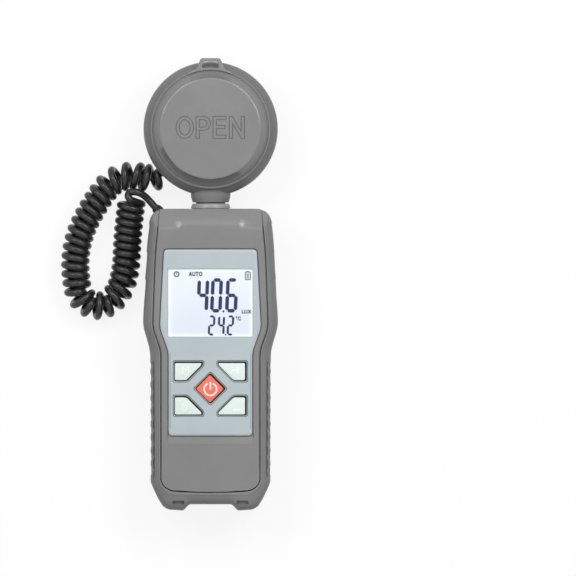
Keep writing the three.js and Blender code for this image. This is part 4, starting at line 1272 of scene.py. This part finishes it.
head_ring = spun("head_ring", RING_PROFILE, HEAD_AXIS, 128)
cut(head_ring, *[post(x, y, SCREW_R + GAP, 10, 20.8) for x, y in HEAD_SCREWS], dock_hole(*PLUG_HOLE))
smooth_edges(head_ring)
give(head_ring, "head", "shell", "head_front_ring")

# %% Frosted dome
DOME_R, DOME_SPRING_Z, DOME_TOP_Z = 19.5, 22.9, 30.6
DOME_STEPS = 16
DOME_PROFILE = [(0, 24), (17.6, 24), (17.6, 21.9), (20.8, 21.9), (20.8, DOME_SPRING_Z)]
for i in range(DOME_STEPS + 1):
    turn = math.pi / 2 * i / DOME_STEPS
    radius = DOME_R * math.cos(turn) if i < DOME_STEPS else 0
    DOME_PROFILE.append((radius, DOME_SPRING_Z + (DOME_TOP_Z - DOME_SPRING_Z) * math.sin(turn)))
dome = spun("frosted_dome", DOME_PROFILE, HEAD_AXIS)
give(dome, "head", "white", "diffuser_dome")

# %% [markdown]
# ## Sensor cap
# The cap is one soft moulding: a flat face with a crisp rim, a hollow sloping wall, a thin lip
# with a bead, and a pull tab whose strap the bead runs into. The letters on its face end level
# with it and have its colour, so only the narrow trench round each of them shows.

# %% Cap, lip and tab
CAP_TOP_Z = 33
CAP_R = 27.7
CAP_PROFILE = [
    (0, CAP_TOP_Z - 1.4), (22, CAP_TOP_Z - 1.4), (25.9, 26.9), (25.9, 24.6), (CAP_R, 24.6), (CAP_R, 25.2),
    (27.6, 25.7), (27.3, 25.95), (26.95, 25.9), (26.7, 25.55), (26.45, 25.75), (25.9, 26.6), (24.9, 28.3),
    (24.1, 30), (23.5, 31.7), (23.3, 32.5), (23.2, 32.76), (22.65, CAP_TOP_Z - 0.04),
    (22.4, CAP_TOP_Z), (0, CAP_TOP_Z),
]
STRAP_RIGHT = [(11, 23.8, 0.4), (10.4, 25.8, 0.5), (6.5, 27.5, 1.5), (4.5, 32.5, 1.2)]
EYE = [(-4.1, 27.9), (4.1, 27.9), (3.4, 30.9), (-3.4, 30.9)]


def on_head(corners):
    return [(x, HEAD_Y + y, *rest) for x, y, *rest in corners]


cap = spun("cover_cap", CAP_PROFILE, HEAD_AXIS, 160)
strap = rounded(on_head(mirrored(STRAP_RIGHT)), 1)
STRAP_EDGE = [(24.9, 0), (25.8, 0), (26.25, 0.12), (26.5, 0.4), (26.6, 0.7)]
tab = layered("tab", strap, STRAP_EDGE)
cut(tab, post(0, HEAD_Y, 27.1, 20, 40, 96))
weld(cap, tab)
cut(cap, prism("eye", rounded(on_head(EYE), 0.8), 20, 30))
smooth_edges(cap, 25)
give(cap, "sensor_cap", "cap", "sensor_cap")

# %% The word on the cap: each letter stands in a narrow trench of its own outline
STROKE = 1.15
TRENCH = 0.36
TRENCH_Z = CAP_TOP_Z - 0.5
WORD_LOW, WORD_HIGH = 171.5, 181.3
WORD = [(-15.6, "O", 7.6), (-6.4, "P", 6.2), (1.4, "E", 5.6), (8.9, "N", 6.6)]


def stroke_plate(points, width, levels, closed):
    """A plate of even width along a line of points, with square corners."""
    spots = [Vector(point) for point in points]
    before, after = 2 * spots[0] - spots[1], 2 * spots[-1] - spots[-2]
    chain = [spots[-1], *spots, spots[0]] if closed else [before, *spots, after]
    left, right = [], []
    for places in zip(chain, chain[1:], chain[2:]):
        normal = left_of(*places)
        reach = normal * (width / max(normal.length_squared, 0.4))
        left.append(tuple(places[1] + reach))
        right.append(tuple(places[1] - reach))
    if not closed:
        return prism("stroke", [*right, *reversed(left)], *levels)
    plate = prism("outer", right, *levels)
    cut(plate, prism("hole", left, levels[0] - 1, levels[1] + 1))
    return plate


def letter_strokes(x0, kind, wide):
    """Centre lines of one capital letter, from its left edge; only that of O is a closed loop."""
    half = STROKE / 2
    low, high, middle = WORD_LOW + half, WORD_HIGH - half, (WORD_LOW + WORD_HIGH) / 2
    left, right = x0 + half, x0 + wide - half
    if kind == "O":
        cx, rx, ry = (left + right) / 2, (right - left) / 2, (high - low) / 2
        return [[(cx + rx * x, middle + ry * y) for x, y in circle(0, 0, 1)]]
    upright = [(left, WORD_LOW), (left, WORD_HIGH)]
    if kind == "P":
        bend = (high - middle + 0.6) / 2
        bowl = bow(right - bend, high - bend, bend, math.pi / 2, -math.pi / 2, 14)
        return [upright, [(left, high), *bowl, (left, high - 2 * bend)]]
    if kind == "E":
        bars = [(low, 0), (high, 0), (middle + 0.2, 0.5)]
        return [upright, *[[(left, y), (x0 + wide - short, y)] for y, short in bars]]
    slant = [(left, WORD_HIGH - 0.3), (right, WORD_LOW + 0.3)]
    return [upright, slant, [(right, WORD_LOW), (right, WORD_HIGH)]]


def drawn_out(end, inner, grown):
    """The end of a line, moved away from its neighbour."""
    return tuple(Vector(end) + (Vector(end) - Vector(inner)).normalized() * grown)


def letter(x0, kind, wide, grown, levels):
    plates = []
    for points in letter_strokes(x0, kind, wide):
        if kind != "O":
            first = drawn_out(points[0], points[1], grown)
            last = drawn_out(points[-1], points[-2], grown)
            points = [first, *points[1:-1], last]
        plates.append(stroke_plate(points, STROKE + 2 * grown, levels, kind == "O"))
    weld(plates[0], *plates[1:])
    return plates[0]


cut(cap, *[letter(*place, TRENCH, (TRENCH_Z, CAP_TOP_Z + 1)) for place in WORD])
weld(cap, *[letter(*place, 0, (TRENCH_Z - 0.1, CAP_TOP_Z)) for place in WORD])
smooth_edges(cap, 25)
print("cap with its word", len(cap.data.polygons), "faces")

# %% [markdown]
# ## Dock and strain reliefs
# The head plugs into a collar on the body's end. Both collars are spun about the body's long
# axis and then pressed flat to an oval. The strain reliefs are short tapered sleeves.

# %% Dock collars
COLLAR_PROFILE = [
    (7.1, 124.6), (8.6, 124.6), (8.6, 139.4), (9.0, 139.4), (9.15, 139.6), (9.1, 140.0), (8.9, 140.5),
    (8.7, 141.1), (8.5, 141.4), (8.2, 141.5), (7.1, 141.5),
]
PLUG_PROFILE = [
    (0, 126), (6.2, 126), (6.8, 126.8), (6.8, 129.4), (5.6, 129.4), (5.6, 131.4), (6.8, 131.4),
    (6.8, 142.1), (8.1, 142.1), (8.4, 142.25), (8.5, 142.7), (8.7, 143.3), (8.95, 144), (9.1, 144.6),
    (9.15, 145.2), (9.15, 152.2), (0, 152.2),
]
give(flattened(spun("socket_collar", COLLAR_PROFILE, DOCK_AXIS)), "meter", "shell", "dock_collar")
give(flattened(spun("dock_spigot", PLUG_PROFILE, DOCK_AXIS)), "head", "shell", "dock_plug")

# %% Strain reliefs: a seat inside the shell, and three tapering steps outside it
SLEEVE_R, SLEEVE_SEAT_R, SLEEVE_TIP_R = 2.5, 3.3, 2.0
SLEEVE_FROM, SLEEVE_STEPS = 0.6, 3
SLEEVE_TAPER = 0.15
STEP_SHAPE = [(0, 0.15), (0.05, 0.7), (0.25, 0.85)]


def gland(name, place):
    reach, seat = place["reach"], place["seat"]
    step = (reach - SLEEVE_FROM) / SLEEVE_STEPS
    profile = [(0, -seat), (SLEEVE_SEAT_R, -seat), (SLEEVE_SEAT_R, 0.9 - seat)]
    profile += [(SLEEVE_R, 0.9 - seat), (SLEEVE_R, SLEEVE_FROM)]
    for i in range(SLEEVE_STEPS):
        for thinner, share in STEP_SHAPE:
            profile.append((SLEEVE_R - SLEEVE_TAPER * i - thinner, SLEEVE_FROM + step * (i + share)))
    hole = JACKET_R + 0.05
    profile += [(SLEEVE_TIP_R, reach), (hole, reach), (hole, reach - 1.5), (0, reach - 1.5)]
    return along_gland(name, place, profile, 48)


give(gland("meter_cord_sleeve", METER_GLAND), "meter", "rubber", "meter_strain_relief")
give(gland("head_cord_sleeve", HEAD_GLAND), "head", "rubber", "head_strain_relief")

# %% [markdown]
# ## Battery door
# The door slides off toward the foot. It has a rounded edge, tongues that run in the rails, and
# a field of ridges for the thumb.

# %% Battery door
DOOR_EDGE = [(0, 0.35), (0.12, 0.1), (0.35, 0), (1.6, 0)]
RIDGES, RIDGE_Y, RIDGE_PITCH, RIDGE_HALF = 4, 12, 2.4, 7

door = layered("battery_hatch", rounded(rectangle(15.9, 6.4, 62.6), 0.8), DOOR_EDGE)
weld(door, block(-17, 17, 2.4, 62.6, 1.5, 2.5), block(-15.9, 15.9, 2.4, 6.5, 0.9, 2))
for i in range(RIDGES):
    y = RIDGE_Y + i * RIDGE_PITCH
    cut(door, prism("groove", rounded(rectangle(RIDGE_HALF, y, y + 1), 0.4), -1, 0.5))
smooth_edges(door)
give(door, "battery_door", "rear", "battery_door")

# %% [markdown]
# ## Finishes
# Moulded plastic is never one flat colour: its spark-eroded grain scatters the light, large
# soft clouds come from the melt's flow, and handling changes the gloss. One function makes
# them all from an object's own coordinates.

# %% Moulded plastics and rubber
# The square of the keypad, where the fascia and the keys get painted shade below given heights.
KEYPAD_HALF, KEYPAD_Y = 0.0186, -0.048
RING_FADE, KEYPAD_FADE = 0.00006, 0.0001
GRAIN = 0.00001


def beside_keys(finish, height):
    """Share that is 0 below this height within the keypad, and 1 anywhere else."""
    above = finish.steps(finish.axis("Z"), height - RING_FADE, height)
    x, y = finish.axis("X").size(), (finish.axis("Y") - KEYPAD_Y).size()
    beside = finish.steps(x, KEYPAD_HALF - KEYPAD_FADE, KEYPAD_HALF)
    beyond = finish.steps(y, KEYPAD_HALF - KEYPAD_FADE, KEYPAD_HALF)
    return above.most(beside.most(beyond))


def scaled(colour, share):
    return (*[min(c * share, 1) for c in colour[:3]], 1)


def moulded(name, levels, rough, grain_scale=2400, cloud=0.03, bend=1.45, painted_shade=()):
    """Plastic or rubber of one tone; `painted_shade` lists darker tones, painted shade, that begin below
    a height within the keypad.
    """
    finish, colour = material(name), tone(*levels)
    flow = finish.noise(38, 3, 0.6)
    speck = finish.noise(grain_scale, 2, 0.6)
    share = finish.steps(flow * 0.7 + speck * 0.3, 0.3, 0.7)
    base = finish.mix(share, scaled(colour, 1 - cloud * 2), scaled(colour, 1 + cloud * 2))
    # Painted shade: within the keypad, each tone darkens the colour below its height.
    for height, shade_levels in painted_shade:
        base = finish.mix(beside_keys(finish, height), tone(*shade_levels), base)
    gloss = rough + (flow - 0.5) * 0.12 + (speck - 0.5) * 0.1
    finish.set(Base_Color=base, Roughness=gloss, IOR=bend)
    finish.bump(speck, GRAIN)


# Painted shade in the key openings of the fascia: a dark grey band at the top of each opening, a paler
# grey wall below it, and near black deeper down.
FASCIA_PAINTED_SHADE = [(0.03197, (104, 109, 111)), (0.03172, (154, 162, 165)), (0.0314, (60, 64, 66))]
MOULDED = {
    "shell_plastic": ((130, 130, 131), 0.2, {}),
    "cap_plastic": ((132, 132, 132), 0.24, {"bend": 1.38}),
    # A darker copy of the shell plastic for the head's ring and its spigot: painted shade for their steep
    # sides.
    "head_plastic": ((120, 120, 121), 0.34, {"bend": 1.32}),
    "rear_plastic": ((108, 108, 109), 0.5, {}),
    "grip_rubber": ((130, 130, 131), 0.45, {"bend": 1.3}),
    "collar_plastic": ((150, 150, 151), 0.26, {}),
    "fascia_satin": ((181, 192, 196), 0.34, {"grain_scale": 3600, "cloud": 0.02, "painted_shade": FASCIA_PAINTED_SHADE}),
    # Painted shade on the keys: below the top edge their sides turn dark, as the gap round each key lies
    # in shade.
    "mint_rubber": ((224, 237, 230), 0.5, {"cloud": 0.012, "painted_shade": [(0.0314, (60, 66, 66))]}),
    "coral_rubber": ((242, 114, 93), 0.5, {"cloud": 0.02, "painted_shade": [(0.0314, (96, 48, 44))]}),
    "white_print": ((246, 236, 228), 0.6, {"cloud": 0.01}),
    "faint_print": ((242, 250, 246), 0.6, {"cloud": 0.01}),
    "cord_jacket": ((36, 36, 38), 0.3, {"grain_scale": 1500, "cloud": 0.06}),
    "black_rubber": ((36, 36, 38), 0.5, {}),
    "frosted_white": ((236, 236, 232), 0.5, {"cloud": 0.01}),
    "display_ink": ((30, 42, 94), 0.6, {"bend": 1.2}),
    "fine_ink": ((12, 18, 56), 0.6, {"bend": 1.2}),
    "dark_plastic": ((40, 40, 42), 0.5, {}),
    "chip_resin": ((34, 34, 36), 0.45, {}),
    "filter_glass": ((92, 128, 104), 0.15, {}),
}
for name, (levels, rough, more) in MOULDED.items():
    moulded(name, levels, rough, **more)
print("moulded finishes", len(MOULDED))

# %% Glass, metal, board, cells
finish = material("cover_clear")
haze = finish.noise(60)
finish.set(Base_Color=(0.4, 0.45, 0.5, 1), Roughness=0.12 + haze * 0.05, IOR=1.45)
finish.set(Alpha=0.03 + haze * 0.02)

# Painted light on the display glass: it is paler toward its top and at its edges. A faint emission makes
# it glow.
finish = material("lcd_glow")
painted_light_to_top = finish.steps(finish.axis("Y"), -0.024, 0.006)
edge_x = finish.steps(finish.axis("X").size(), 0.0172, 0.0194)
edge_y = finish.steps((finish.axis("Y") + 0.0085).size(), 0.0134, 0.0156)
edge = (edge_x + edge_y).least(1.0)
share = edge + (1.0 - edge) * (painted_light_to_top * 0.4 + finish.noise(45) * 0.3)
pale = finish.mix(share, tone(219, 226, 239), tone(243, 248, 250))
finish.set(Base_Color=pale, Roughness=0.3, Emission_Color=pale, Emission_Strength=0.14)

finish = material("steel")
STEEL = (0.62, 0.62, 0.6, 1)
brushed = finish.noise(1800, 3)
finish.set(Base_Color=finish.mix(brushed, STEEL, scaled(STEEL, 0.8)))
finish.set(Metallic=1.0, Roughness=0.3 + (brushed - 0.5) * 0.2)
finish.bump(brushed, GRAIN)

finish = material("board_mask")
tracks = finish.node("ShaderNodeTexBrick", {"offset": 0.4}, {"Vector": finish.place(), "Scale": 420})
tracks = finish.node("ShaderNodeRGBToBW", inputs={0: tracks})
finish.set(Base_Color=finish.mix(tracks, tone(20, 74, 48), tone(34, 104, 66)))
finish.set(Roughness=0.4 + finish.noise(300) * 0.2)

finish = material("cell_wrap")
bands = finish.noise(90)
finish.set(Base_Color=finish.mix(bands, tone(28, 28, 30), tone(44, 44, 48)))
finish.set(Roughness=0.3 + bands * 0.1)
print("all finishes", len(FINISHES))

# %% Every piece and every solid that stays gets its finish
SLOT_FINISHES = {
    "shell": "shell_plastic", "rear": "rear_plastic", "grip": "grip_rubber", "fascia": "fascia_satin",
    "window": "cover_clear", "lcd": "lcd_glow", "white": "frosted_white", "mint": "mint_rubber",
    "coral": "coral_rubber", "board": "board_mask", "chip": "chip_resin", "rubber": "black_rubber",
    "metal": "steel", "cell": "cell_wrap", "black": "dark_plastic", "filter": "filter_glass",
    "cap": "cap_plastic", "cord": "cord_jacket",
}
OWN_FINISHES = {
    "light_reading": "display_ink", "warmth_reading": "display_ink", "display_marks": "fine_ink",
    "power_mark": "white_print", "mode_mark": "faint_print", "hold_mark": "faint_print",
    "display_mark": "faint_print", "backlight_mark": "faint_print",
    # The head's ring and its spigot wear the darker copy of the shell plastic, which is painted shade.
    "socket_collar": "collar_plastic", "dock_spigot": "head_plastic", "head_ring": "head_plastic",
}
node_slots = {entry["node"]: entry["material_slot"] for entry in frame["record"]["subparts"]}

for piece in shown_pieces():
    if piece.name in OWN_FINISHES:
        wear(piece, OWN_FINISHES[piece.name])
    else:
        slot = piece["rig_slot"] if "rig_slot" in piece else node_slots[piece["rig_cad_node"]]
        wear(piece, SLOT_FINISHES[slot])
